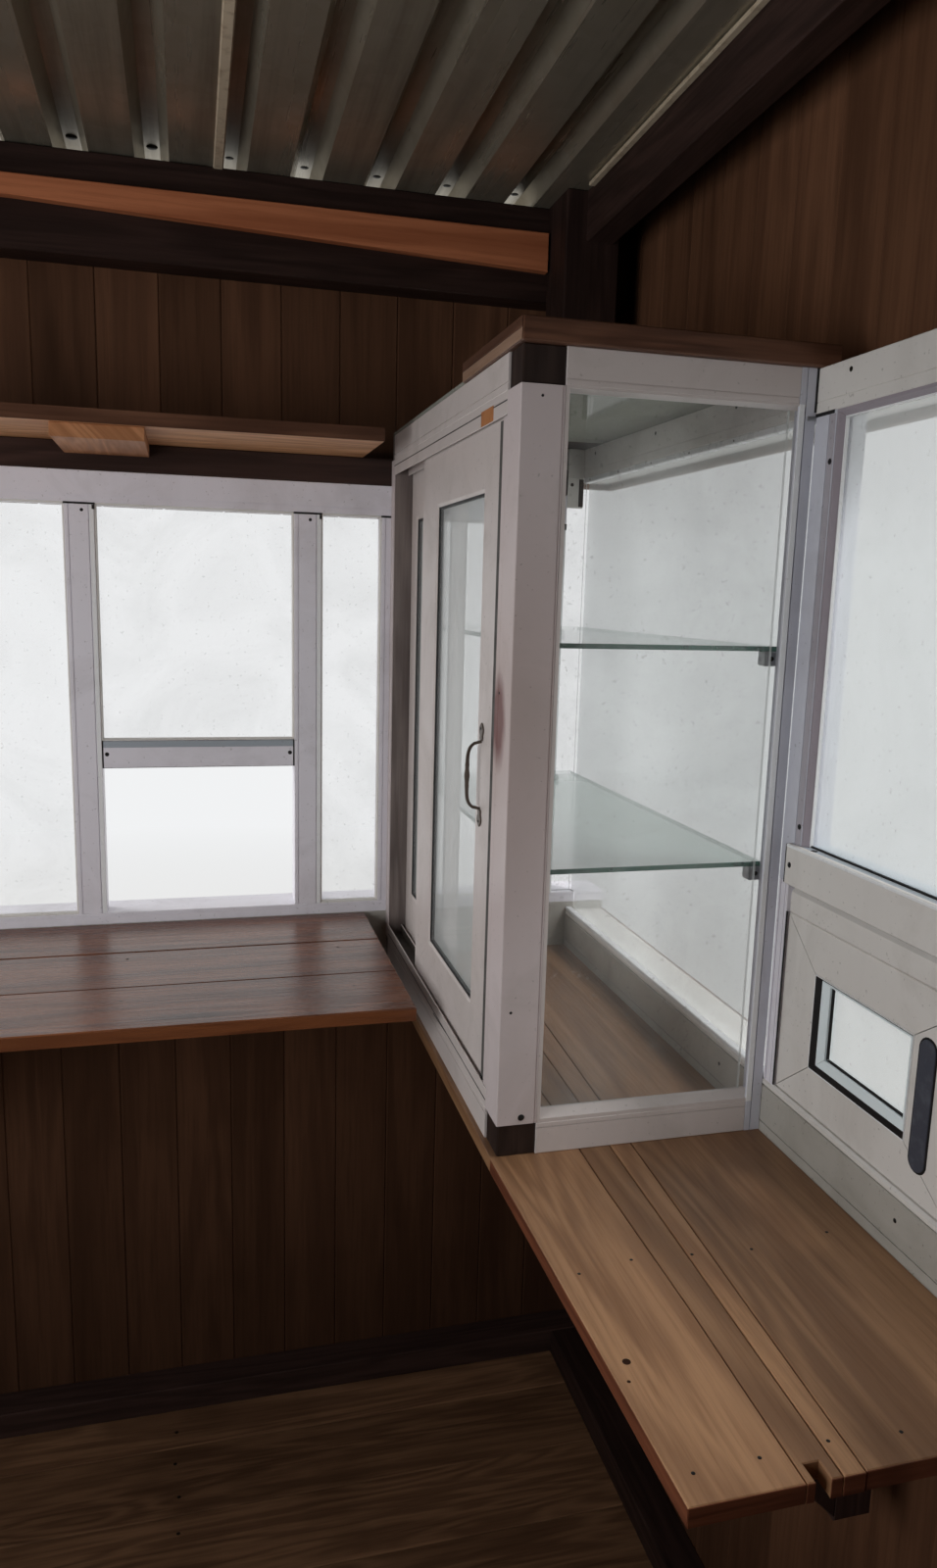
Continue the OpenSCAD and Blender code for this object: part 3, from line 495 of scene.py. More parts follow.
# Pale seal colour; the strip along the right rafter in it is painted light.
SEAL_AND_LIGHT_STRIP = Plain("seam_seal", "roof_steel", srgb(206, 190, 166), srgb(168, 148, 124), 0, 0.6)


def inset(outline: Sequence[Flat], step: float) -> list[Flat]:
    """Moves an outline inwards.

    Args:
        outline: Corners in counter-clockwise order.
        step: Distance to move each side by.

    Returns:
        The new corners.
    """
    made = []
    for index, (x, y) in enumerate(outline):
        px, py = outline[index - 1]
        nx, ny = outline[(index + 1) % len(outline)]
        a = Vector((x - px, y - py)).normalized()
        b = Vector((nx - x, ny - y)).normalized()
        across_a, across_b = Vector((-a.y, a.x)), Vector((-b.y, b.x))
        bisect = across_a + across_b
        scale = step / max(0.2, 1 + across_a.dot(across_b))
        made.append((x + bisect.x * scale, y + bisect.y * scale))
    return made


def slotted(low: Flat, high: Flat, side: Side, slots: Sequence[Point], cut: float = 0.001) -> list[Flat]:
    """Draws a rectangle with cut corners and narrow slots in one side.

    Args:
        low: Its lowest corner.
        high: Its highest corner.
        side: The side that the slots are in.
        slots: The start, width and depth of each slot, the start counted along the side.
        cut: Size of the cut corners.

    Returns:
        The outline.
    """
    along = 1 - side.value
    span, deep = high[along] - low[along], high[side.value] - low[side.value]
    line: list[Flat] = [(0, cut), (cut, 0)]
    for start, width, depth in sorted(slots):
        line += [(start, 0), (start, depth), (start + width, depth), (start + width, 0)]
    line += [(span - cut, 0), (span, cut), (span, deep - cut), (span - cut, deep), (cut, deep), (0, deep - cut)]
    return [(low[0] + t, low[1] + s) if side is Side.U else (low[0] + s, low[1] + t) for s, t in line]


def skin(count: int, rings: int) -> Faces:
    """Lists the faces between rings of points, and a cap at each end.

    Args:
        count: Points in a ring.
        rings: The number of rings.

    Returns:
        The faces, by point.
    """
    faces: Faces = []
    for start in range(0, (rings - 1) * count, count):
        for k in range(count):
            a, b = start + k, start + (k + 1) % count
            faces.append((a, b, b + count, a + count))
    return faces + [tuple(reversed(range(count))), tuple(range((rings - 1) * count, rings * count))]


class Solid:
    """Closed shapes in one mesh, each with its own grain direction and tone."""

    def __init__(self, *finishes: Finish) -> None:
        """Starts an empty mesh.

        Args:
            finishes: The finishes that shapes may take, by slot.
        """
        self.finishes = finishes
        self.points: list[Point] = []
        self.grain: list[Point] = []
        self.tones: list[float] = []
        self.faces: Faces = []
        self.slots: list[int] = []

    def add(self, points: list[Point], faces: Faces, axis: Axis, slot: int = 0, tone: Optional[float] = None,
            warp: Optional[Warp] = None) -> None:
        """Adds one closed shape and turns its faces outwards.

        Args:
            points: Its corners.
            faces: Its faces, by corner.
            axis: The direction of its grain.
            slot: Its finish.
            tone: Its tone from 0 to 1, or a drawn one.
            warp: A change of shape made after the grain is set.
        """
        start = len(self.points)
        volume = 0.0
        for face in faces:
            a = Vector(points[face[0]])
            for first, second in zip(face[1:], face[2:]):
                volume += a.dot(Vector(points[first]).cross(Vector(points[second])))
        turned = faces if volume > 0 else [tuple(reversed(face)) for face in faces]
        a, b = axis.others()
        for point in points:
            self.grain.append((point[axis.value], point[a] + point[b], 0.0))
            self.points.append(warp(point) if warp else point)
        value = DICE.random() if tone is None else tone
        self.tones.extend([value] * len(points))
        self.faces.extend(tuple(start + index for index in face) for face in turned)
        self.slots.extend([slot] * len(faces))

    def prism(self, outline: Sequence[Flat], axis: Axis, low: float, high: float, cut: float = 0.001,
              slot: int = 0, tone: Optional[float] = None, warp: Optional[Warp] = None,
              grain: Optional[Axis] = None) -> None:
        """Adds an outline drawn out along an axis, with its end rims cut.

        Args:
            outline: Corners in the other two axes, in X, Y, Z order.
            axis: The direction to draw it in.
            low: Where it starts.
            high: Where it ends.
            cut: Size of the cut along the rims.
            slot: Its finish.
            tone: Its tone.
            warp: A change of shape.
            grain: The grain's direction, or the axis.
        """
        area = sum(a[0] * b[1] - b[0] * a[1] for a, b in zip(outline, [*outline[1:], outline[0]]))
        base = list(outline) if area > 0 else list(reversed(outline))
        rings = [(low, base), (high, base)] if cut <= 0 else [
            (low, inset(base, cut)), (low + cut, base), (high - cut, base), (high, inset(base, cut))]
        points = [axis.point(level, u, v) for level, ring in rings for u, v in ring]
        self.add(points, skin(len(base), len(rings)), grain or axis, slot, tone, warp)

    def block(self, low: Sequence[float], high: Sequence[float], axis: Axis, cut: float, slot: int = 0,
              tone: Optional[float] = None, warp: Optional[Warp] = None) -> None:
        """Adds a box with cut edges, its grain along an axis.

        Args:
            low: Its lowest corner.
            high: Its highest corner.
            axis: The direction of its grain.
            cut: Size of the cut edges.
            slot: Its finish.
            tone: Its tone.
            warp: A change of shape.
        """
        a, b = axis.others()
        u0, v0, u1, v1 = low[a], low[b], high[a], high[b]
        outline = [(u0 + cut, v0), (u1 - cut, v0), (u1, v0 + cut), (u1, v1 - cut),
                   (u1 - cut, v1), (u0 + cut, v1), (u0, v1 - cut), (u0, v0 + cut)]
        self.prism(outline, axis, low[axis.value], high[axis.value], cut, slot, tone, warp)

    def blocks(self, *boxes: tuple[Any, ...]) -> None:
        """Adds boxes, each given as block takes it."""
        for box in boxes:
            self.block(*box)

    def bar(self, low: Sequence[float], high: Sequence[float], axis: Axis, side: Side, *slots: Point,
            slot: int = 0) -> None:
        """Adds a drawn bar with slots along one side.

        Args:
            low: Its lowest corner.
            high: Its highest corner.
            axis: The direction that it runs in.
            side: The side that the slots are in.
            slots: The start, width and depth of each slot.
            slot: Its finish.
        """
        a, b = axis.others()
        outline = slotted((low[a], low[b]), (high[a], high[b]), side, slots)
        self.prism(outline, axis, low[axis.value], high[axis.value], 0.0004, slot)

    def ring(self, low: Sequence[float], high: Sequence[float], flat: Axis, widths: Sequence[float],
             section: Sequence[Flat], slot: int = 0, gap: float = 0.0002) -> None:
        """Adds four bars with mitred corners round a rectangle.

        Args:
            low: Lowest corner of its box.
            high: Highest corner of its box.
            flat: The axis that the rectangle faces.
            widths: Widths of the low, high, bottom and top bars.
            section: Outline of a bar: share of its width from the outside, and place along the flat axis.
            slot: Its finish.
            gap: Half the gap in each mitre.
        """
        a, b = flat.others()
        near, far, bottom, top = widths
        ends = [(False, False), (True, False), (True, True), (False, True)]
        moves = [(gap, 0), (0, gap), (-gap, 0), (0, -gap)]

        def corners(end: tuple[bool, bool], shift: Flat) -> list[Point]:
            """Draws a bar's section at one corner of the rectangle.

            Args:
                end: Whether the corner is at the high end along each axis.
                shift: How far the mitre moves it.

            Returns:
                The points.
            """
            return [flat.point(level, (high[a] - share * far if end[0] else low[a] + share * near) + shift[0],
                               (high[b] - share * top if end[1] else low[b] + share * bottom) + shift[1])
                    for share, level in section]

        for k, (u, v) in enumerate(moves):
            points = corners(ends[k], (u, v)) + corners(ends[(k + 1) % 4], (-u, -v))
            self.add(points, skin(len(section), 2), Axis(a if k % 2 == 0 else b), slot)

    def tube(self, path: Sequence[Point], widths: Sequence[float], sides: int = 12) -> None:
        """Adds a round bar along a path, with closed ends.

        Args:
            path: Its centre line.
            widths: Its radius at each point.
            sides: Points round it.
        """
        line = [Vector(p) for p in path]
        points: list[Point] = []
        across = (line[1] - line[0]).normalized().orthogonal().normalized()
        for index, centre in enumerate(line):
            ahead = (line[min(index + 1, len(line) - 1)] - line[max(index - 1, 0)]).normalized()
            across = (across - ahead * across.dot(ahead)).normalized()
            up = ahead.cross(across)
            for k in range(sides):
                turn = 2 * math.pi * k / sides
                points.append(tuple(centre + (across * math.cos(turn) + up * math.sin(turn)) * widths[index]))
        self.add(points, skin(sides, len(line)), Axis.Z)

    def mesh(self, name: str, tones: bool = True) -> bpy.types.Mesh:
        """Makes the mesh with its attributes and materials.

        Args:
            name: The mesh's name.
            tones: Whether it gets the tones, which the boarding tree draws by itself.

        Returns:
            The mesh.
        """
        made = bpy.data.meshes.new(name)
        made.from_pydata(self.points, [], self.faces)
        grain = made.attributes.new("grain", "FLOAT_VECTOR", "POINT")
        grain.data.foreach_set("vector", np.array(self.grain, np.float32).ravel())
        if tones:
            tone = made.attributes.new("tone", "FLOAT", "POINT")
            tone.data.foreach_set("value", np.array(self.tones, np.float32))
        for finish in self.finishes:
            made.materials.append(finish.material())
        made.polygons.foreach_set("material_index", np.array(self.slots, np.int32))
        made.update()
        return made

    def piece(self, name: str, *replaces: str, body: str = HUT) -> bpy.types.Object:
        """A finished piece on a body, in place of CAD nodes."""
        return settle(name, self.mesh(name), self.finishes[0], *replaces, body=body)


def settle(name: str, mesh: bpy.types.Mesh, finish: Finish, *replaces: str, body: str = HUT) -> bpy.types.Object:
    """Puts a finished mesh in the scene.

    Args:
        name: The piece's name.
        mesh: Its mesh, in the row frame.
        finish: The piece's finish; not used.
        replaces: The CAD nodes that it stands for.
        body: The CAD body that it rides on.

    Returns:
        The object.
    """
    made = bpy.data.objects.new(name, mesh)
    bpy.context.scene.collection.objects.link(made)
    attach(made, body)
    if replaces:
        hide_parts(*replaces)
    LOG.info("%s: %d faces", name, len(mesh.polygons))
    return made


class Growth(Graph):
    """A geometry node tree in the making."""

    def __init__(self, name: str) -> None:
        """Starts a tree with a geometry in and out.

        Args:
            name: The tree's name.
        """
        super().__init__(bpy.data.node_groups.new(name, "GeometryNodeTree"))
        for way in ("INPUT", "OUTPUT"):
            self.tree.interface.new_socket("Geometry", in_out=way, socket_type="NodeSocketGeometry")
        self.source, self.sink = self.node("NodeGroupInput"), self.node("NodeGroupOutput")

    def sizes(self, *names: str, kind: str = "Float") -> list[Socket]:
        """Gives the tree named inputs.

        Args:
            names: Their names.
            kind: Their type.

        Returns:
            Their sockets inside the tree.
        """
        for name in names:
            self.tree.interface.new_socket(name, in_out="INPUT", socket_type=f"NodeSocket{kind}")
        return [self.source.outputs[name] for name in names]

    def parts(self) -> Sequence[Socket]:
        """X, Y and Z of each point's place."""
        return self.node("ShaderNodeSeparateXYZ", {0: self.node("GeometryNodeInputPosition").outputs[0]}).outputs

    def rise(self, pivot: Socket, y: Socket, slope: Socket) -> Socket:
        """How far the roof's slope rises from the pivot to a depth."""
        return self.math("MULTIPLY", self.math("SUBTRACT", pivot, y), slope)

    def finish(self, geometry: Socket) -> bpy.types.NodeTree:
        """Realizes the instances, sets the material and ends the tree.

        Args:
            geometry: What the tree has made.

        Returns:
            The tree.
        """
        real = self.node("GeometryNodeRealizeInstances", {"Geometry": geometry})
        (material,) = self.sizes("Material", kind="Material")
        done = self.node("GeometryNodeSetMaterial", {"Geometry": real.outputs[0], "Material": material})
        self.tree.links.new(done.outputs[0], self.sink.inputs[0])
        return self.tree


def grow(tree: bpy.types.NodeTree, start: bpy.types.Mesh, sizes: dict[str, Any],
         thickness: float = 0.0) -> bpy.types.Mesh:
    """Runs a tree on a mesh.

    Args:
        tree: The geometry node tree.
        start: The mesh that goes in.
        sizes: The tree's inputs by name.
        thickness: Sheet thickness to give the result, or nothing.

    Returns:
        The new plain mesh.
    """
    holder = bpy.data.objects.new("holder", start)
    bpy.context.scene.collection.objects.link(holder)
    modifier = holder.modifiers.new("Grow", "NODES")
    modifier.node_group = tree
    for item in tree.interface.items_tree:
        if item.item_type == "SOCKET" and item.in_out == "INPUT" and item.name in sizes:
            modifier[item.identifier] = sizes[item.name]
    if thickness:
        wall = holder.modifiers.new("Wall", "SOLIDIFY")
        wall.thickness, wall.offset = thickness, 1.0
    made = bpy.data.meshes.new_from_object(holder.evaluated_get(bpy.context.evaluated_depsgraph_get()))
    bpy.data.objects.remove(holder)
    return made


def boarding_tree() -> bpy.types.NodeTree:
    """Grows boards side by side, each with its own tone, held to a field and to the roof's slope.

    Returns:
        The tree.
    """
    make = Growth("boarding")
    (count,), (step, low, high) = make.sizes("Count", kind="Int"), make.sizes("Step", "Low", "High", kind="Vector")
    middle, slope, pivot = make.sizes("Middle", "Slope", "Pivot")
    (seed,) = make.sizes("Seed", kind="Int")
    line = make.node("GeometryNodeMeshLine", {"Count": count, "Offset": step}, mode="OFFSET")
    copies = make.node("GeometryNodeInstanceOnPoints",
                       {"Points": line.outputs[0], "Instance": make.source.outputs[0]})
    tone = make.node("FunctionNodeRandomValue", {"Min": 0.0, "Max": 1.0, "Seed": seed}, data_type="FLOAT")
    drawn = next(s for s in tone.outputs if s.enabled)
    toned = make.node("GeometryNodeStoreNamedAttribute",
                      {"Geometry": copies.outputs[0], "Name": "tone", "Value": drawn},
                      data_type="FLOAT", domain="INSTANCE")
    real = make.node("GeometryNodeRealizeInstances", {"Geometry": toned.outputs[0]})
    over = make.vector("MAXIMUM", make.node("GeometryNodeInputPosition").outputs[0], low)
    kept = make.node("GeometryNodeSetPosition", {
        "Geometry": real.outputs[0], "Position": make.vector("MINIMUM", over, high)})
    _, y, z = make.parts()
    top = make.math("MULTIPLY", make.math("GREATER_THAN", z, middle), make.rise(pivot, y, slope))
    lift = make.node("ShaderNodeCombineXYZ", {2: top}).outputs[0]
    tilted = make.node("GeometryNodeSetPosition", {"Geometry": kept.outputs[0], "Offset": lift})
    merged = make.node("GeometryNodeMergeByDistance", {"Geometry": tilted.outputs[0], "Distance": 0.00002})
    return make.finish(merged.outputs[0])


def stud_tree() -> bpy.types.NodeTree:
    """Grows domed heads on points, each facing the way its point says.

    Returns:
        The tree.
    """
    make = Growth("studs")
    radius, dome = make.sizes("Radius", "Dome")
    facing = make.node("GeometryNodeInputNamedAttribute", {"Name": "facing"}, data_type="FLOAT_VECTOR")
    turn = make.node("FunctionNodeAlignRotationToVector", {"Vector": facing.outputs[0]}, axis="Z")
    ball = make.node("GeometryNodeMeshUVSphere", {"Segments": 12, "Rings": 7, "Radius": radius})
    shape = make.node("ShaderNodeCombineXYZ", {0: 1.0, 1: 1.0, 2: dome}).outputs[0]
    head = make.node("GeometryNodeTransform", {"Geometry": ball.outputs[0], "Scale": shape})
    copies = make.node("GeometryNodeInstanceOnPoints", {
        "Points": make.source.outputs[0], "Instance": head.outputs[0], "Rotation": turn.outputs[0]})
    return make.finish(copies.outputs[0])


def ribbed_tree() -> bpy.types.NodeTree:
    """Grows a sheet with box ribs along the slope, from a grid whose height follows the rib's rule.

    Returns:
        The tree.
    """
    make = Growth("ribbed_sheet")
    left, right, length, pitch, first = make.sizes("Left", "Right", "Length", "Pitch", "First Rib")
    foot, crown, height, base, slope, pivot = make.sizes("Foot", "Crown", "Height", "Base", "Slope", "Pivot")
    wide = make.math("SUBTRACT", right, left)
    columns = make.math("ADD", make.math("ROUND", make.math("DIVIDE", wide, 0.002)), 1.0)
    grid = make.node("GeometryNodeMeshGrid",
                     {"Size X": wide, "Size Y": length, "Vertices X": columns, "Vertices Y": 24})
    middle_x, y, _ = make.parts()
    x = make.math("ADD", middle_x, make.math("MULTIPLY", make.math("ADD", left, right), 0.5))
    away = make.math("PINGPONG", make.math("SUBTRACT", x, first), make.math("MULTIPLY", pitch, 0.5))
    rib = make.node("ShaderNodeMapRange", {
        "Value": away, "From Min": make.math("MULTIPLY", crown, 0.5), "From Max": make.math("MULTIPLY", foot, 0.5),
        "To Min": height, "To Max": 0.0})
    dent = make.node("ShaderNodeTexNoise", {"Scale": 5.0, "Detail": 2.0})
    rough = make.math("MULTIPLY", dent.outputs[0], 0.0008)
    z = make.math("ADD", make.math("ADD", rib.outputs[0], rough),
                  make.math("ADD", base, make.rise(pivot, y, slope)))
    spot = make.node("ShaderNodeCombineXYZ", {0: x, 1: y, 2: z}).outputs[0]
    shaped = make.node("GeometryNodeSetPosition", {"Geometry": grid.outputs[0], "Position": spot})
    return make.finish(shaped.outputs[0])


class Studs:
    """Screws and nails, gathered while the pieces are made and grown at the end."""

    def __init__(self) -> None:
        """Starts with none."""
        self.sets: dict[tuple[str, str, float, float], list[tuple[Point, Facing]]] = {}
        self.finishes: dict[str, Finish] = {}

    def add(self, at: Point, facing: Facing, radius: float = 0.004, dome: float = 0.4, finish: Finish = SCREW,
            body: str = HUT) -> None:
        """Adds one head, of a radius and with a height as a share of it, at a place."""
        self.finishes[finish.name] = finish
        self.sets.setdefault((body, finish.name, radius, dome), []).append((at, facing))

    def build(self) -> None:
        """Grows every set into one piece for each body, finish and size."""
        tree = stud_tree()
        for index, (key, heads) in enumerate(sorted(self.sets.items(), key=lambda item: item[0])):
            body, name, radius, dome = key
            start = bpy.data.meshes.new("stud_points")
            start.from_pydata([at for at, _ in heads], [], [])
            way = start.attributes.new("facing", "FLOAT_VECTOR", "POINT")
            way.data.foreach_set("vector", np.array([facing.value for _, facing in heads], np.float32).ravel())
            finish = self.finishes[name]
            mesh = grow(tree, start, {"Radius": radius, "Dome": dome, "Material": finish.material()})
            mesh.shade_smooth()
            settle(f"{body}_studs_{index}", mesh, finish, body=body)


STUDS = Studs()


def solids(node: str) -> list[Box]:
    """Finds the boxes of a CAD node's separate solids, in rising order.

    Args:
        node: The CAD node's name.

    Returns:
        The lowest and highest corner of each solid.
    """
    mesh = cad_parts[node].data
    seen: dict[tuple[int, ...], int] = {}
    index = [seen.setdefault(tuple(round(c * 1e5) for c in v.co), len(seen)) for v in mesh.vertices]
    parent = list(range(len(seen)))

    def root(item: int) -> int:
        """Finds the first point of a solid.

        Args:
            item: Any of its points.

        Returns:
            The first point.
        """
        while parent[item] != item:
            parent[item] = parent[parent[item]]
            item = parent[item]
        return item

    for face in mesh.polygons:
        first = index[face.vertices[0]]
        for other in face.vertices[1:]:
            parent[root(index[other])] = root(first)
    groups: dict[int, list[tuple[int, ...]]] = {}
    for spot, item in seen.items():
        groups.setdefault(root(item), []).append(spot)
    boxes = [[tuple(pick(p[k] for p in group) / 1e5 for k in range(3)) for pick in (min, max)]
             for group in groups.values()]
    return [(Vector(a), Vector(b)) for a, b in sorted(boxes)]


def longest(low: Vector, high: Vector) -> Axis:
    """The direction in which a box is longest."""
    size = high - low
    return Axis(max(range(3), key=lambda k: size[k]))


@dataclass
class Field:
    """A field of upright wall boards between two corners."""

    low: Point
    high: Point
    sloping: bool = False
    finish: Finish = BOARDS


@dataclass
class Timbers:
    """Bearers, floor, posts, plates, girts, rafters and the pieces nailed to them."""

    floor_boards: int = 16
    board_gap: float = 0.0016
    nail_shares: Flat = (0.25, 0.75)
    nail_drift: float = 0.006
    rail_taper: float = 0.857
    rail_top: float = 0.004
    rail_foot: float = 0.035
    rafter: float = 0.08

    def floor(self, tree: bpy.types.NodeTree) -> None:
        """Makes the floor boards across the bearers, with two nails over each.

        Args:
            tree: The boarding tree.
        """
        low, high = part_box("floor_deck")
        step = (high.y - low.y) / self.floor_boards
        module = Solid(FLOOR)
        module.block(low, (high.x, low.y + step - self.board_gap, high.z), Axis.X, 0.0015)
        mesh = grow(tree, module.mesh("floor_module", tones=False), {
            "Count": self.floor_boards, "Step": (0, step, 0), "Low": tuple(low), "High": tuple(high),
            "Middle": 9.0, "Slope": 0.0, "Pivot": 0.0, "Seed": 3, "Material": FLOOR.material()})
        settle("floor_boards", mesh, FLOOR, "floor_deck")
        for bearer_low, bearer_high in solids("base_bearers"):
            x = (bearer_low.x + bearer_high.x) / 2
            for k in range(self.floor_boards):
                for share in self.nail_shares:
                    drift = DICE.uniform(-self.nail_drift, self.nail_drift)
                    STUDS.add((x + drift, low.y + (k + share) * step, high.z), Facing.UP, 0.0035, 0.3)

    def rail(self) -> None:
        """Makes the tapered rail on the front top plate."""
        low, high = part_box("front_rail")
        bend, top, foot = high.x - self.rail_taper, high.z - self.rail_top, high.z - self.rail_foot
        made = Solid(RAIL)
        made.prism([(low.x, foot), (bend, foot), (high.x, low.z), (high.x, high.z), (bend, top), (low.x, top)],
                   Axis.Y, low.y, high.y, 0.0015, grain=Axis.X)
        made.piece("front_rail_timber", "front_rail")

    def build(self, tree: bpy.types.NodeTree) -> None:
        """Makes all the timbers.

        Args:
            tree: The boarding tree.
        """
        self.floor(tree)
        for node, finish, cut in (("base_bearers", BEARER, 0.004), ("sole_plates", DARK, PLANED),
                                  ("wall_girts", DARK, PLANED), ("front_lintel", DARK, PLANED)):
            made = Solid(finish)
            for low, high in solids(node):
                made.block(low, high, longest(low, high), cut)
            made.piece(f"{node}_timber", node)
        self.rail()
        made = Solid(DARK)
        for node, axis, cut in (("corner_posts", Axis.Z, 0.003), ("top_plates", Axis.X, PLANED)):
            for low, high in solids(node):
                made.block(low, high, axis, cut, warp=under_roof)
        made.piece("posts_and_plates", "corner_posts", "top_plates")
        made = Solid(DARK)
        depth = self.rafter / math.cos(math.atan(TILT))
        for node, axis in (("side_rafters", Axis.Y), ("roof_purlin", Axis.X)):
            for low, high in solids(node):
                made.block((low.x, low.y, 0), (high.x, high.y, depth), axis, 0.002, warp=hung(depth))
        made.piece("roof_timbers", "side_rafters", "roof_purlin")


@dataclass
class Walls:
    """Four walls of narrow upright boards round their openings."""

    pitch: float = 0.1
    groove: float = 0.0022
    seed: int = 10
    front_open: Flat = (1.11, 1.816)
    right_open: Flat = (1.085, 1.887)
    front_left: float = -1.026
    corner: float = 1.099
    near: float = -0.272
    way: Flat = (0.04, 0.8)
    way_z: Flat = (0.125, 2.075)

    def field(self, tree: bpy.types.NodeTree, area: Field) -> bpy.types.Mesh:
        """Makes the boards that fill one field.

        Args:
            tree: The boarding tree.
            area: The field.

        Returns:
            Its mesh.
        """
        low, high = Vector(area.low), Vector(area.high)
        along = 0 if high.x - low.x > high.y - low.y else 1
        start = math.floor(low[along] / self.pitch) * self.pitch
        first, last, step = Vector(low), Vector(high), [0.0, 0.0, 0.0]
        first[along], last[along], step[along] = start, start + self.pitch, self.pitch
        module = Solid(area.finish)
        module.block(first, last, Axis.Z, self.groove)
        self.seed += 1
        return grow(tree, module.mesh("board_module", tones=False), {
            "Count": math.ceil((high[along] - start) / self.pitch), "Step": tuple(step), "Low": tuple(low),
            "High": tuple(high), "Middle": (low.z + high.z) / 2, "Slope": TILT if area.sloping else 0.0,
            "Pivot": FRONT_Y, "Seed": self.seed, "Material": area.finish.material()})

    def wall(self, tree: bpy.types.NodeTree, node: str, *fields: Field) -> None:
        """Makes one wall from its fields."""
        for index, area in enumerate(fields):
            settle(f"{node}_boards_{index}", self.field(tree, area), BOARDS, node)

    def build(self, tree: bpy.types.NodeTree) -> None:
        """Makes the four walls.

        Args:
            tree: The boarding tree.
        """
        low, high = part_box("front_wall")
        sill, head = self.front_open
        right_sill, right_head = self.right_open
        # The front wall's fields take the darker board wood: painted shade.
        self.wall(tree, "front_wall", *(Field(a, b, finish=SHADED_FRONT_BOARDS) for a, b in (
            (tuple(low), (high.x, high.y, sill)),
            ((low.x, low.y, head), (self.corner, high.y, ROOF_Z)),
            ((self.corner, low.y, right_head), (high.x, high.y, ROOF_Z)),
            ((low.x, low.y, sill), (self.front_left, high.y, head)))))
        low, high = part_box("right_wall")
        self.wall(tree, "right_wall", Field(tuple(low), (high.x, self.near, ROOF_Z), True),
                  Field((low.x, self.near, low.z), (high.x, high.y, right_sill)),
                  Field((low.x, self.near, right_head), (high.x, high.y, ROOF_Z), True))
        low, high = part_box("left_wall")
        self.wall(tree, "left_wall", Field(tuple(low), (high.x, high.y, ROOF_Z), True))
        low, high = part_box("rear_wall")
        top, (x0, x1), (z0, z1) = roof_under(low.y), self.way, self.way_z
        self.wall(tree, "rear_wall",
                  Field(tuple(low), (x0, high.y, top)), Field((x1, low.y, low.z), (high.x, high.y, top)),
                  Field((x0, low.y, z1), (x1, high.y, top)), Field((x0, low.y, low.z), (x1, high.y, z0)))


@dataclass
class Roof:
    """Three ribbed sheets, their nails, the pale seal in the lap and a pale strip along the right rafter that is a
    painted line of light.
    """

    pitch: float = 0.12
    foot: float = 0.052
    crown: float = 0.024
    height: float = 0.026
    sheet: float = 0.0009
    lift: float = 0.0022
    reach: float = 1.369
    lap: float = 0.034
    seams: Flat = (-0.445, 0.515)
    sharp: float = math.radians(18)
    seal: float = 0.008
    seal_side: float = 0.019
    light_strip: Flat = (1.0725, 1.0838)

    def sheets(self) -> None:
        """Makes the ribbed sheets, the middle one lapped over the others."""
        tree, start = ribbed_tree(), bpy.data.meshes.new("empty")
        left, right = self.seams
        for side, x0, x1, lift in (("left", -self.reach, left + self.lap, 0.0),
                                   ("middle", left - self.lap, right + self.lap, self.lift),
                                   ("right", right - self.lap, self.reach, 0.0)):
            mesh = grow(tree, start, {
                "Left": x0, "Right": x1, "Length": 2 * self.reach, "Pitch": self.pitch,
                "First Rib": right - 24 * self.pitch, "Foot": self.foot, "Crown": self.crown,
                "Height": self.height, "Base": ROOF_Z + lift, "Slope": TILT, "Pivot": FRONT_Y,
                "Material": ROOF.material()}, self.sheet)
            mesh.shade_smooth()
            mesh.set_sharp_from_angle(angle=self.sharp)
            settle(f"roof_{side}_sheet", mesh, ROOF, f"roof_sheet_{side}")

    def build(self) -> None:
        """Makes the sheets, the seal in the lap, the strip of painted light along the right rafter and the nails
        that hold them.
        """
        self.sheets()
        made = Solid(SEAL_AND_LIGHT_STRIP)
        x = self.seams[1] - self.seal_side
        made.block((x - self.seal, -self.reach + 0.02, 0.003), (x + self.seal, self.reach - 0.16, 0.010),
                   Axis.Y, PLANED, warp=hung(0.006))
        # A pale strip along the right rafter: a painted line of light.
        made.block((self.light_strip[0], -self.reach + 0.4, 0.0), (self.light_strip[1], 1.016, 0.006), Axis.Y, 0.0015,
                   warp=hung(0.0075))
        made.piece("roof_seal_and_light_strip")
        for k in range(-11, 8):
            rib = self.seams[1] + k * self.pitch
            for y in (FRONT_Y - 0.03, 0.0, -FRONT_Y + 0.03):
                if -self.reach < rib < self.reach:
                    STUDS.add((rib, y, roof_under(y) + self.height + 0.0024), Facing.UP, 0.009, 0.35)


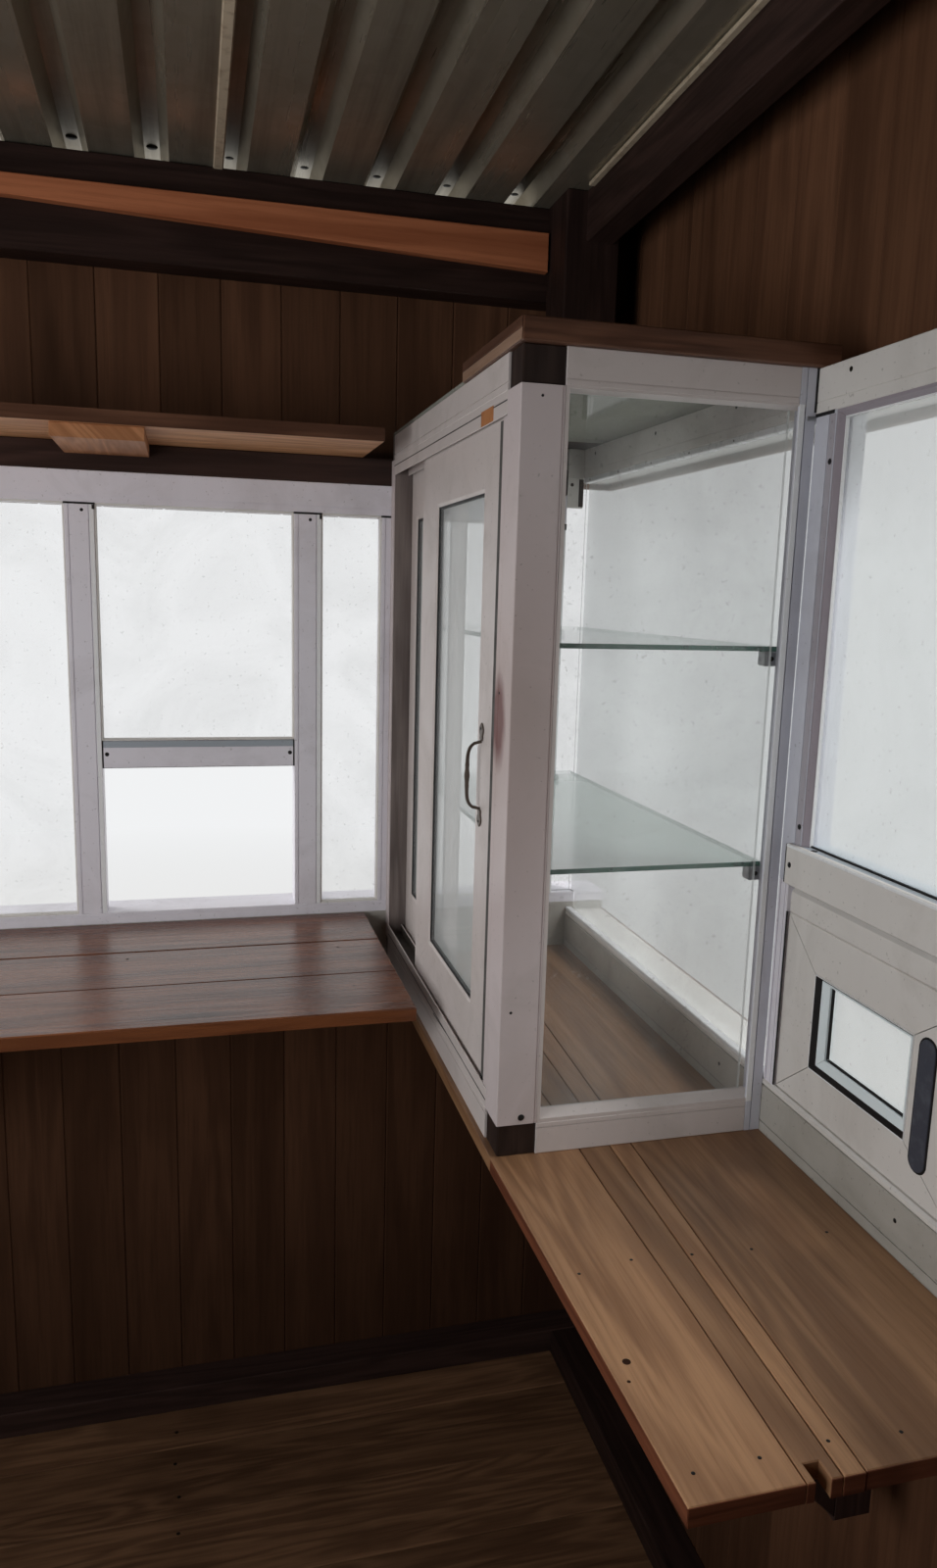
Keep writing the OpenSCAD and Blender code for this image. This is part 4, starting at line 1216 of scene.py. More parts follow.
@dataclass
class Windows:
    """Drawn window profiles with beads, seals and screws, in front of the panes kept from the CAD."""

    inner: float = 1.129
    outer: float = 1.204
    left: float = -1.049
    corner: float = 1.099
    near: float = -0.272
    near_case: float = 0.389
    front_head: Flat = (1.816, 1.866)
    right_head: Flat = (1.897, 1.947)
    front_sill: Flat = (1.11, 1.13)
    right_sill: Flat = (1.085, 1.095)
    transom: Flat = (1.356, 1.405)
    track: float = 1.3146
    jamb: float = 0.021
    cap: float = 0.003
    proud: float = 0.008
    deep: float = 0.04
    end_gap: float = 0.0024
    bead: float = 0.0035
    wide_bead: float = 0.0075
    thin_bead: float = 0.0012
    channel_share: float = 0.29

    def front_upright(self, made: Solid, low: Vector, high: Vector) -> None:
        """Makes one mullion of the front window, with its cap, a painted highlight along one edge and its drip of
        sealant.

        Args:
            made: The solid to add to.
            low: Its lowest corner.
            high: Its highest corner.
        """
        wide, y, top = high.x - low.x, low.y, high.z - self.cap
        made.bar(low, (high.x, high.y, top), Axis.Z, Side.V, (0.006, 0.0012, 0.0014),
                 (wide - 0.009, 0.0014, 0.0014))
        made.blocks(
            ((high.x - 0.0076, y - 0.0004, low.z), (high.x - 0.0004, y + 0.0006, top), Axis.Z, FINE, 2),
            ((low.x - 0.001, y - 0.0006, top), (high.x + 0.001, high.y, high.z), Axis.X, 0.0003, 1),
            ((high.x - 0.0035, y - 0.0006, high.z - 0.0105), (high.x + 0.0006, y + 0.002, high.z - 0.0031),
             Axis.Z, CRISP, 1))
        STUDS.add(((low.x + high.x) / 2 + 0.004, y, high.z - 0.012), Facing.REAR, 0.0028, 0.3, RUBBER_AND_SHADOW)
        STUDS.add((low.x, y + 0.006, 1.47), Facing.LEFT, 0.003)

    def right_upright(self, made: Solid, low: Vector, high: Vector) -> None:
        """Makes one mullion of the right window: full width over the sashes, a narrow jamb beside them.

        Args:
            made: The solid to add to.
            low: Its lowest corner.
            high: Its highest corner.
        """
        at_case = high.y > 0.2
        y0, y1 = (high.y - self.jamb, high.y) if at_case else (low.y, low.y + self.jamb)
        wide, (z0, z1) = high.y - low.y, self.transom
        # The full-width face takes the bluish copy of the white: painted shade.
        made.bar((low.x, low.y, z0), high, Axis.Z, Side.U, (wide * self.channel_share, 0.0012, 0.0016), slot=3)
        # A thin strip over the channel above the transom: painted shade.
        made.block((low.x - 0.0004, low.y + 0.0008, z1),
                   (low.x + 0.0006, low.y + wide * (self.channel_share - 0.01), high.z - 0.004), Axis.Z, FINE, 4)
        made.bar((low.x, y0, low.z), (high.x, y1, z0), Axis.Z, Side.U, (0.004, 0.0014, 0.0016),
                 (self.jamb - 0.0065, 0.002, 0.003))
        if at_case:
            for drop in (0.055, 0.47):
                STUDS.add((low.x - 0.0003, low.y + 0.0045, high.z - drop), Facing.LEFT, 0.0035, finish=RUBBER_AND_SHADOW)

    def uprights(self) -> None:
        """Makes the mullions and jambs."""
        made = Solid(FRONT_WHITE, RUBBER_AND_SHADOW, PAINTED_HIGHLIGHT, SHADED_COOL_WHITE, SHADED_CHANNEL)
        for low, high in solids("window_mullions"):
            make = self.front_upright if low.y > 1.1 else self.right_upright
            make(made, low, high)
        made.piece("window_uprights", "window_mullions")

    def rails(self) -> None:
        """Makes the headers, the block in the glazed corner, sills and the timber rail's silver face."""
        made = Solid(WHITE, PAINTED_HIGHLIGHT, CASE_CORE, FRONT_WHITE)
        i, o, near, case = self.inner, self.outer, self.near, self.near_case
        (f0, f1), (r0, r1), (s0, s1), (t0, t1) = self.front_head, self.right_head, self.front_sill, self.right_sill
        made.bar((self.left, i, f0), (self.corner, o, f1), Axis.X, Side.U, (0.010, 0.0012, 0.0012), slot=3)
        made.bar((i, near, r0), (o, o, r1), Axis.Y, Side.U, (0.012, 0.0012, 0.0012))
        made.blocks(
            ((self.corner, i, r0), (i, o, r1), Axis.X, 0.0008),
            ((self.corner, i, r0 - 0.052), (i, i + 0.012, r0), Axis.Z, 0.001),
            ((i - 0.009, i - 0.0006, r0 - 0.05), (i - 0.0002, i + 0.0006, r0 - 0.002), Axis.Z, FINE, 2),
            # Two pale strips, under the header and on the sill beside the case: painted highlights.
            ((i, case, r0 - 0.0085), (i + 0.0118, i - 0.001, r0), Axis.Y, 0.0012, 1),
            ((i, case, t1), (i + 0.0118, i - 0.001, t1 + 0.006), Axis.Y, 0.0012, 1))
        made.bar((self.left, i, s0), (o, o, s1), Axis.X, Side.U, (0.014, 0.001, 0.001), slot=3)
        made.block((i, near, t0), (o, i - 0.0002, t1), Axis.Y, 0.003)
        made.piece("window_rails", "window_headers", "window_sills")
        STUDS.add((self.corner + 0.008, i, r0 - 0.012), Facing.REAR, 0.0032, 0.35)
        for k in range(6):
            STUDS.add((self.left + 0.18 + 0.36 * k, i + 0.01, f0), Facing.DOWN, 0.0032)
            STUDS.add((i, near + 0.1 + 0.25 * k, r1 - 0.012), Facing.LEFT, 0.003, 0.35)
            STUDS.add((i, case + 0.06 + 0.13 * k, r0 - 0.0045), Facing.LEFT, 0.0016, 0.35, RUBBER_AND_SHADOW)
        made = Solid(SILL)
        low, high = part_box("sill_rail")
        made.bar((low.x, i, low.z), high, Axis.X, Side.U, (0.03, 0.002, 0.0015))
        made.bar((i, low.y, low.z), (high.x, i, t0), Axis.Y, Side.U, (0.03, 0.002, 0.0015))
        made.piece("sill_profiles", "sill_rail")
        for k in range(3):
            STUDS.add((i, low.y + 0.013 + 0.38 * k, t0 - 0.022), Facing.LEFT, 0.0026, 0.3, RUBBER_AND_SHADOW)

    def transoms(self) -> None:
        """Makes the hatch transom, the right transom's proud box and the track for the heads of the sashes."""
        made = Solid(WHITE, RUBBER_AND_SHADOW, PAINTED_HIGHLIGHT, SHADED_BLUE_GREY, FRONT_WHITE)
        low, high = min(solids("window_transoms"), key=lambda box: box[0].x)
        end, top = self.end_gap, high.z - 0.001
        made.bar((low.x + end, low.y, low.z), (high.x - end, high.y, top), Axis.X, Side.U, (0.005, 0.0012, 0.001),
                 (0.034, 0.0012, 0.001), slot=4)
        for x in (low.x, high.x - end):
            made.block((x, low.y + 0.0004, low.z), (x + end, high.y - 0.002, top), Axis.Z, FINE, 1)
        # The top band in the blue-grey copy: painted shade.
        made.block((low.x + end, low.y - 0.0006, high.z - 0.0115), (high.x - end, low.y + 0.001, top),
                   Axis.X, CRISP, 3)
        made.block((low.x, low.y + 0.001, low.z - 0.0008), (high.x, low.y + 0.004, low.z + 0.0006),
                   Axis.X, FINE, 1)
        for x in (low.x + 0.008, high.x - 0.008):
            STUDS.add((x, low.y, (low.z + high.z) / 2), Facing.REAR, 0.0036, finish=RUBBER_AND_SHADOW)
        (z0, z1), i = self.transom, self.inner
        y0, y1 = self.near + self.jamb, self.near_case - self.jamb
        face, back = i - self.proud, i + self.deep
        made.blocks(
            ((face, y0 + 0.002, z0), (i, y1 - 0.002, z1), Axis.Y, 0.0016),
            # A painted highlight along the front top edge.
            ((face - 0.0004, y0 + 0.003, z1 - 0.004), (face + 0.0012, y1 - 0.003, z1 - 0.0004), Axis.Y, 0.0006, 2),
            # The box behind the face and its top take the blue-grey copy: painted shade.
            ((i, y0, z0 + 0.001), (back, y1, z1 - 0.0004), Axis.Y, 0.0006, 3),
            ((face + 0.0012, y0 + 0.003, z1 - 0.001), (i + 0.001, y1 - 0.003, z1 - 0.0002), Axis.Y, 0.0003, 3),
            ((i + 0.0085, y0 + 0.002, z1 - 0.001), (i + 0.0116, y1 - 0.002, z1 + 0.0018), Axis.Y, 0.0006, 1),
            ((face + 0.0006, y1 - 0.0022, z0 + 0.001), (i, y1 - 0.0002, z1 - 0.001), Axis.Z, 0.0003, 1),
            # A dark strip under the box: painted shadow of the gap.
            ((i + 0.0012, y0 + 0.001, z0 - 0.0022), (i + 0.004, y1 - 0.001, z0 + 0.0006), Axis.Y, 0.0003, 1),
            ((i + 0.0005, y0 + 0.0005, self.track), (back, y1 - 0.0005, z0 - 0.0012), Axis.Y, 0.008))
        made.piece("window_crossbars", "window_transoms")
        STUDS.add((i + 0.002, y1 - 0.045, z1 - 0.0004), Facing.UP, 0.0044, 0.25, RUBBER_AND_SHADOW)
        for y in (y0 + 0.012, y1 - 0.012):
            STUDS.add((face, y, (z0 + z1) / 2), Facing.LEFT, 0.0036, finish=RUBBER_AND_SHADOW)

    def beads(self) -> None:
        """Makes thin beads round the front panes and the pane over the right transom, whose outer bead is in
        painted shade and inner ring a painted highlight.
        """
        made = Solid(WHITE, SHADED_PURPLE_GREY, PAINTED_HIGHLIGHT)
        for low, high in solids("window_glass"):
            front = high.y - low.y < 0.01
            beaded = low.x < self.corner - 0.01 if front else low.z > self.transom[0]
            if not beaded:
                continue
            face, w = (low.y, self.bead) if front else (low.x, self.wide_bead)
            made.ring(low, high, Axis.Y if front else Axis.X, (w,) * 4, [
                (0, face - 0.0004), (0, face - 0.0105), (0.45, face - 0.0105), (1, face - 0.004),
                (1, face - 0.0004)], 0 if front else 1)
            if not front:
                step = Vector((0, w, w))
                # A thin inner ring: painted highlight.
                made.ring(low + step, high - step, Axis.X, (self.thin_bead,) * 4, [
                    (0, face - 0.0004), (0, face - 0.0044), (1, face - 0.0044), (1, face - 0.0004)], 2)
        made.piece("window_beads")

    def build(self) -> None:
        """Makes the window frame, and, where the case meets it, dark strips that paint the shadow in the gaps and
        a small plate.
        """
        self.uprights()
        self.rails()
        self.transoms()
        self.beads()
        made = Solid(RUBBER_AND_SHADOW, CLIP)
        # Dark strips in the corner and beside the sash's far stile: painted shadow of the gaps.
        made.blocks(((1.1262, 0.3884, 1.899), (1.1295, 0.3892, 1.947), Axis.Z, FINE),
                    ((1.118, 0.3876, 1.8895), (1.1288, 0.3889, 1.8945), Axis.X, 0.0003, 1),
                    ((1.1284, 0.352, 1.8935), (1.1292, 0.3888, 1.8975), Axis.Y, FINE),
                    ((1.1295, 0.3655, 1.096), (1.1305, 0.3683, 1.32), Axis.Z, FINE))
        made.piece("corner_shadow_lines")


@dataclass
class Sashes:
    """The two sliding sashes in the right window: mitred frames with deep seals and a flush pull.

    Each ring round a pane has its near, far, bottom and top width.
    """

    stile: float = 0.078
    back: float = 0.066
    rail: float = 0.053
    top: float = 0.057
    pull: Flat = (0.028, 0.144)
    pull_drop: float = 0.01
    line: tuple[float, ...] = (0.001, 0.001, 0.001, 0.001)
    lining: tuple[float, ...] = (0.0008, 0.0115, 0.007, 0.001)
    gasket: tuple[float, ...] = (0.0006, 0.001, 0.001, 0.0006)
    bevel: tuple[float, ...] = (0.003, 0.0155, 0.0125, 0.0025)
    inner_seal: tuple[float, ...] = (0.001, 0.005, 0.0035, 0.001)

    def pull_outline(self, y: float, z: float, share: float) -> list[Flat]:
        """Draws a flush pull with round ends.

        Args:
            y: Its middle.
            z: Its middle height.
            share: Its width as a share of the whole pull.

        Returns:
            The outline.
        """
        r, half = self.pull[0] / 2, self.pull[1] / 2
        turns = [math.pi * (k + 0.5) / 10 for k in range(20)]
        return [(y + r * share * math.cos(t),
                 z + math.copysign(half - r, math.sin(t)) + r * share * math.sin(t)) for t in turns]

    def frame_ring(self, made: Solid, low: Vector, high: Vector, widths: Sequence[float]) -> None:
        """Makes one sash's frame, with its seals and bevel one inside the other.

        Args:
            made: The solid to add to.
            low: Its lowest corner.
            high: Its highest corner.
            widths: Widths of its near stile, far stile, bottom rail and top rail.
        """
        x = low.x
        made.ring(low, high, Axis.X, widths, [
            (0, high.x), (0, x + 0.003), (0.04, x), (0.97, x), (1, x + 0.001), (1, high.x)], gap=0.0007)
        for inner, front, back, slot in (
                # The thin outer line ring is a painted highlight.
                (self.line, -0.0002, 0, 3), (self.lining, 0.0002, 0.0008, 1), (self.gasket, 0.0036, 0.0038, 1),
                # The bevel ring takes the brightened white: painted light.
                (self.bevel, 0.0008, 0.0013, 4), (self.inner_seal, 0.0038, 0.0042, 1)):
            low, high = low + Vector((0, widths[0], widths[2])), high - Vector((0, widths[1], widths[3]))
            made.ring(low, high, Axis.X, inner,
                      [(0, x + 0.0046), (0, x + front), (1, x + back), (1, x + 0.0046)], slot)
            widths = inner

    def build(self) -> None:
        """Makes both sashes."""
        made = Solid(WHITE, RUBBER_AND_SHADOW, PULL, PAINTED_HIGHLIGHT, LIT_BEVEL)
        for index, (low, high) in enumerate(solids("right_sashes")):
            near, far = (self.stile, self.back) if index == 0 else (self.back, self.stile)
            self.frame_ring(made, low, high, (near, far, self.rail, self.top))
            y = low.y + self.stile * 0.7 if index == 0 else high.y - self.stile * 0.7
            z = (low.z + high.z) / 2 - self.pull_drop
            for share, out, slot in ((1.0, 0.001, 1), (0.86, 0.0016, 2)):
                made.prism(self.pull_outline(y, z, share), Axis.X, low.x - out, low.x + 0.003, 0.0008, slot)
        made.piece("sash_frames", "right_sashes")


@dataclass
class Counters:
    """Plank counters, their supports and the wall shelf."""

    seams: Point = (0.881, 0.913, 0.933)
    drift: Point = (0.012, 0.03, 0.05)
    jag: tuple[float, ...] = (0.0, 0.0016, -0.001, 0.0012, -0.0006, 0.0014, 0.0)
    ends: tuple[float, ...] = (0.001, 0.0008, 0.0006, 0.0014)
    tones: tuple[float, ...] = (0.62, 0.28, 0.8, 0.42)
    slit: float = 0.0005
    lean: float = 0.009
    case_near: float = 0.389
    notch: Point = (0.8885, 0.9025, 0.018)
    knots: tuple[Point, ...] = ((0.7975, 0.0345, 0.0052), (0.79, 0.0115, 0.0038), (0.826, 0.07, 0.0022))
    nails: tuple[Flat, ...] = (
        (0.80, -0.09), (0.858, -0.088), (0.80, 0.16), (0.86, 0.17), (0.921, -0.085), (0.925, 0.165),
        (0.985, -0.09), (1.08, -0.085), (0.99, 0.16), (1.085, 0.17), (0.8, 0.72), (0.86, 0.725))
    front_boards: int = 3
    ledger: float = 0.045
    edge: float = 0.0006
    shelf_strip: float = 0.14

    def plank(self, made: Solid, low: Vector, high: Vector, index: int) -> None:
        """Makes one plank of the right counter: its far end drifts, and the first seam is a jagged crack.

        Args:
            made: The solid to add to.
            low: The counter's lowest corner.
            high: Its highest corner.
            index: The plank's number from the left.
        """
        near = low.y + self.edge + self.ends[index]
        lean_a = self.drift[index - 1] if index else 0.0
        lean_b = self.drift[index] if index < 3 else 0.0
        a = [low.x, *self.seams][index] + (self.slit if index else self.lean)
        b = [*self.seams, high.x][index] - (self.slit if index < 3 else 0)
        n0, n1, deep = self.notch
        line: list[Flat] = [(a, near), (b, near)]
        far: list[Flat] = [(b + lean_b, high.y), (a + lean_a, high.y)]
        x, lean = (b, lean_b) if index == 0 else (a, lean_a)
        crack = [(x + lean * k / 6 + self.jag[k], near + (high.y - near) * k / 6) for k in range(1, 6)]
        if index == 0:
            line += [*crack, far[0], (low.x, high.y), (low.x, self.case_near)]
        elif index == 1:
            line[1:1] = [(n0, near), (n0, near + deep), (n1, near + deep), (n1, near)]
            line += [*far, *reversed(crack)]
        else:
            line += far
        made.prism(line, Axis.Z, low.z, high.z, 0.001, tone=self.tones[index], grain=Axis.Y)
        for x0, x1 in ((a, n0), (n1, b)) if index == 1 else ((a, b),):
            made.block((x0 + 0.0001, near - self.edge, low.z + 0.0004),
                       (x1 - 0.0001, near + 0.001, high.z - 0.0008), Axis.X, FINE, 1, 0.3)

    def right(self) -> None:
        """Makes the bare planks with uneven near ends, brown end grain, a dark left side that is partly painted
        shade, a notch, knots and nail heads.
        """
        low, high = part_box("right_counter")
        made = Solid(BARE_COUNTER, END_GRAIN_AND_SHADE)
        for index in range(4):
            self.plank(made, low, high, index)
        # A thin strip on the left side, in the end grain's brown: varnish and painted shade.
        near, x = low.y + self.edge + self.ends[0], low.x + self.lean
        made.prism([(x - 0.0003, near), (x + 0.0004, near), (low.x + 0.0004, self.case_near),
                    (low.x - 0.0003, self.case_near)], Axis.Z, low.z + 0.001, high.z - 0.001, 0, 1, grain=Axis.Y)
        made.piece("right_counter_planks", "right_counter")
        for x, y, radius in self.knots:
            STUDS.add((x, y, high.z - 0.0002), Facing.UP, radius, 0.06, KNOT)
        for x, y in self.nails:
            STUDS.add((x, y, high.z), Facing.UP, 0.0018, 0.25, RUBBER_AND_SHADOW)

    def front(self) -> None:
        """Makes the varnished boards under the front windows."""
        low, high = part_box("front_counter")
        made = Solid(DARK_COUNTER)
        step = (high.y - low.y) / self.front_boards
        for k in range(self.front_boards):
            made.block((low.x, low.y + k * step + (self.slit if k else self.edge), low.z),
                       (high.x, low.y + (k + 1) * step - self.slit, high.z - 0.0004 * (k % 2)), Axis.X, PLANED)
        made.block((low.x + 0.001, low.y, low.z + 0.001),
                   (high.x - 0.001, low.y + self.edge + 0.0004, high.z - 0.0015), Axis.X, FINE, tone=0.2)
        made.piece("front_counter_boards", "front_counter")
        for k in range(6):
            for share in (0.22, 0.6, 0.9):
                STUDS.add((low.x + 0.06 + 0.33 * k, low.y + step * share * 3, high.z - 0.0003), Facing.UP,
                          0.0022, 0.2, RUBBER_AND_SHADOW)

    def supports(self) -> None:
        """Makes the ledgers and raking brackets."""
        made = Solid(DARK)
        w = self.ledger
        for low, high in solids("counter_supports"):
            tall = high.z - low.z
            if tall < 0.1:
                made.block(low, high, longest(low, high), PLANED)
                continue
            along = Axis.X if high.x - low.x < 0.06 else Axis.Y
            u1, start, end = (high.y, low.x, high.x) if along is Axis.X else (high.x, low.y, high.y)
            for line in ([(0, 0), (-tall, 0), (-tall, -w / 2), (-tall * 0.97, -w), (0, -w)],
                         [(0, -w), (-w, -w), (-w, -tall), (0, -tall)],
                         [(-w, -tall * 0.985), (-w, -tall * 0.66), (-tall * 0.66, -w), (-tall * 0.97, -w)]):
                made.prism([(u1 + u, high.z + v) for u, v in line], along, start, end, 0.0012, grain=Axis.Z)
        made.piece("counter_brackets", "counter_supports")

    def shelf(self) -> None:
        """Makes the wall shelf with its brown front edge, on its cleats."""
        low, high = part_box("wall_shelf")
        made = Solid(SHELF, CASE_BOARD)
        strip = high.y - self.shelf_strip
        made.blocks(((low.x, low.y + 0.002, low.z), (high.x, strip, high.z), Axis.X, 0.001, 0, 0.6),
                    ((low.x, strip + 0.001, low.z), high, Axis.X, 0.001, 0, 0.4),
                    (low, (high.x, low.y + 0.0018, high.z), Axis.X, CRISP, 1))
        made.piece("shelf_boards", "wall_shelf")
        made = Solid(PALE)
        for first, last in solids("shelf_cleats"):
            made.block(first, last, Axis.Y, 0.001)
        made.piece("shelf_cleat_blocks", "shelf_cleats")

    def build(self) -> None:
        """Makes the counters, their supports and the shelf."""
        self.right()
        self.front()
        self.supports()
        self.shelf()


@dataclass
class DisplayCase:
    """The glazed case: dark posts in white covers, rails, tracks, panes, shelves and two sliding doors."""

    bead: float = 0.009
    bead_deep: float = 0.0195
    bead_past: float = 0.0175
    lip: float = 0.002
    lane: float = 0.024
    base: float = 0.01
    post: float = 0.05
    lip_end: float = 0.452
    lip_z: Flat = (1.0915, 1.8805)
    shadow_reach: float = 0.012
    near_stiles: Flat = (0.109, 0.1)
    far_stiles: Flat = (0.058, 0.04)
    low_rail: float = 0.08
    top_rail: float = 0.084
    near_seal: float = 0.0028
    far_seal: float = 0.0034
    end: float = 0.022
    plate: float = 0.0042
    core: float = 0.004
    rail: float = 0.04
    leaf_tall: float = 0.0234
    leaf: tuple[Flat, ...] = ((0, 1), (0.0034, 0.86), (0.0074, 0.55), (0.0088, 0.2), (0.0074, -0.12),
                              (0.005, -0.4), (0.0062, -0.62), (0.0044, -0.9), (0, -1))
    bow_reach: float = 0.0172
    bow_half: float = 0.0425
    bow_radius: float = 0.0019
    bow_points: int = 33

    def posts(self) -> None:
        """Makes the dark cores, which show at foot and top and at the far jamb, where a lighter copy paints a
        reflection, and their white covers with a dark strip of painted shadow at the lip.
        """
        core, cover = Solid(CASE_CORE, LIT_JAMB_CORE), Solid(WHITE_RUSTY, SHADOW_STRIP, RUBBER_AND_SHADOW)
        (low, high), far_shell = sorted(solids("case_post_covers"), key=lambda box: box[0].y)
        (core_low, core_high), far_core = sorted(solids("case_posts"), key=lambda box: box[0].y)
        core.blocks((core_low, (core_high.x, core_high.y, low.z), Axis.Z, 0.0015),
                    ((core_low.x, core_low.y, high.z), core_high, Axis.Z, 0.0015),
                    # The far jamb's core in the lighter copy: painted reflection.
                    (*far_core, Axis.Z, 0.001, 1))
        core.piece("case_post_cores", "case_posts")
        x, y, y1, lip, (z0, z1) = low.x, low.y, low.y + self.post, self.lip_end, self.lip_z
        cover.bar(low, (high.x, y1, high.z), Axis.Z, Side.V, (self.post * 0.93, 0.0012, 0.0008))
        cover.blocks(
            ((x, y1 - 0.0006, z0), (x + self.lip, lip, z1), Axis.Z, CRISP),
            # A dark strip along the lip: painted shadow.
            ((x + 0.0004, lip - 0.0003, z0 + 0.004), (x + 0.0012, lip + self.shadow_reach, z1 - 0.003), Axis.Z, FINE,
             1),
            ((x - 0.0006, lip + 0.004, z0 + 0.001), (x + 0.0016, lip + 0.011, z0 + 0.0065), Axis.Z, CRISP, 2),
            (*far_shell, Axis.Z, CRISP))
        cover.piece("case_post_shells", "case_post_covers")
        for along, z, radius in (
                (0.0303, low.z + 0.009, 0.0042), (0.013, 1.207, 0.0018), (0.024, high.z - 0.012, 0.0016)):
            STUDS.add((x + along, y, z), Facing.REAR, radius, 0.35, RUBBER_AND_SHADOW)
        STUDS.add((x, y + 0.046, 1.576), Facing.LEFT, 0.0018, 0.3, RUBBER_AND_SHADOW)

    def near_frame(self, made: Solid, low: Vector, high: Vector) -> None:
        """Makes the rails and the thin end profile round the near pane.

        Args:
            made: The solid to add to.
            low: Lowest corner of the near frame.
            high: Its highest corner.
        """
        rail, end = self.rail, high.x - self.end
        plate, core = low.y + self.plate, high.x - self.core
        for z0, z1, line in ((low.z, low.z + rail, rail - 0.007), (high.z - rail, high.z, 0.006)):
            made.bar((low.x, low.y, z0), (end, high.y, z1), Axis.X, Side.U, (line, 0.0014, 0.0014))
            made.block((end, plate + 0.0004, z0), (core, high.y, z1), Axis.X, CRISP)
        # The end profile and its core take the bluish copy of the white: painted shade.
        made.bar((end, low.y, low.z), (high.x, plate, high.z), Axis.Z, Side.V, (0.0075, 0.0012, 0.0014), slot=3)
        made.block((core, plate, low.z), high, Axis.Z, CRISP, 3)
        # A thin strip on the end profile's face: painted highlight.
        made.block((end + 0.0003, low.y - 0.0004, low.z + rail), (end + 0.007, low.y + 0.0006, high.z - rail),
                   Axis.Z, FINE, 4)

    def track(self, made: Solid, low: Vector, high: Vector) -> None:
        """Makes one track: a base, three lips, a dark strip at the seam that paints its shadow and, at the foot, a
        dirty lane.

        Args:
            made: The solid to add to.
            low: Its lowest corner.
            high: Its highest corner.
        """
        down, x, lane = low.z > 1.5, low.x, low.x + self.lane
        z0, z1 = (high.z - self.base, high.z) if down else (low.z, low.z + self.base)
        lip_z0, lip_z1 = (low.z, z0) if down else (z1, high.z)
        seam = z0 if down else z1
        made.block((x, low.y, z0), (high.x, high.y, z1), Axis.Y, CRISP)
        for start in (x, lane, high.x - self.lip):
            made.block((start, low.y, lip_z0), (start + self.lip, high.y, lip_z1), Axis.Y, CRISP)
        # A dark strip at the seam with the rail: painted shadow line.
        made.block((x - 0.0003, low.y + 0.001, seam - 0.0007), (x + 0.0003, high.y - 0.001, seam + 0.0007),
                   Axis.Y, 0.0001, 1)
        if not down:
            made.block((x + self.lip, low.y, z1 - 0.0002), (lane, high.y, z1 + 0.0012), Axis.Y, 0.0003, 2)
            made.block((lane - 0.0003, low.y, z1), (lane + 0.0002, high.y, high.z - 0.001), Axis.Y, 0.0001, 2)

    def rails(self) -> None:
        """Makes the near frame, the left rails, the door tracks and the marks on their faces."""
        made = Solid(CASE_WHITE, RUBBER_AND_SHADOW, DIRTY, SHADED_COOL_WHITE, PAINTED_HIGHLIGHT)
        for low, high in solids("case_rails"):
            if high.z - low.z > 0.5:
                self.near_frame(made, low, high)
            else:
                line = (high.z - low.z) * (0.8 if low.z < 1.5 else 0.2)
                made.bar(low, high, longest(low, high), Side.U, (line, 0.0012, 0.0012))
        tracks = solids("door_tracks")
        for low, high in tracks:
            self.track(made, low, high)
        made.piece("case_rail_profiles", "case_rails", "door_tracks")
        x = tracks[0][0].x
        marks = Solid(RUBBER_AND_SHADOW, PATCH)
        marks.prism([(0.635, 1.0745), (0.729, 1.0705), (0.729, 1.0718), (0.635, 1.0758)], Axis.X, x - 0.0003,
                    x + 0.0003, 0)
        marks.block((x - 0.0006, 0.494, 1.8825), (x + 0.0002, 0.546, 1.8995), Axis.Y, 0.0001, 1)
        marks.piece("case_marks")

    def panes(self) -> None:
        """Makes the bead round the near pane, green edges on the shelves and the clips."""
        made = Solid(CASE_WHITE)
        low, high = next(box for box in solids("case_glass") if box[1].y - box[0].y < 0.01)
        w, y, deep = self.bead, low.y, low.y - self.bead_deep
        made.ring(low, high + Vector((self.bead_past, 0, 0)), Axis.Y, (w, 0.0006, w, 0.004), [
            (0, y - 0.0004), (0, deep), (0.5, deep), (1, y - 0.004), (1, y - 0.0004)])
        made.piece("case_beads")
        edge = Solid(GLASS_EDGE)
        for low, high in solids("case_shelves"):
            x, y = low.x, low.y
            edge.blocks(((x - 0.0006, y - 0.0008, low.z), (high.x, y + 0.0006, high.z), Axis.X, 0.0003),
                        ((x - 0.0008, y + 0.0006, low.z), (x + 0.0004, high.y, high.z), Axis.Y, 0.0003))
        edge.piece("shelf_edges")
        clips = Solid(CLIP)
        for low, high in solids("case_shelf_clips"):
            clips.block(low, high, Axis.Z, 0.0015)
            STUDS.add(((low.x + high.x) / 2, low.y, (low.z + high.z) / 2), Facing.REAR, 0.003)
        clips.piece("shelf_clips", "case_shelf_clips")

    def board(self) -> None:
        """Makes the brown top board with its pale sawn left edge."""
        low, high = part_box("case_top_board")
        made = Solid(CASE_BOARD, SAWN_EDGE)
        x, y, y1 = low.x + 0.0014, low.y + 0.001, high.y - 0.001
        made.blocks(((low.x + 0.0012, low.y, low.z), high, Axis.X, 0.0015),
                    ((low.x, y, low.z + 0.001), (x, y1, low.z + 0.0125), Axis.Y, CRISP, 1),
                    ((low.x, y, low.z + 0.0127), (x, y1, high.z - 0.001), Axis.Y, CRISP))
        made.piece("case_board_plank", "case_top_board")

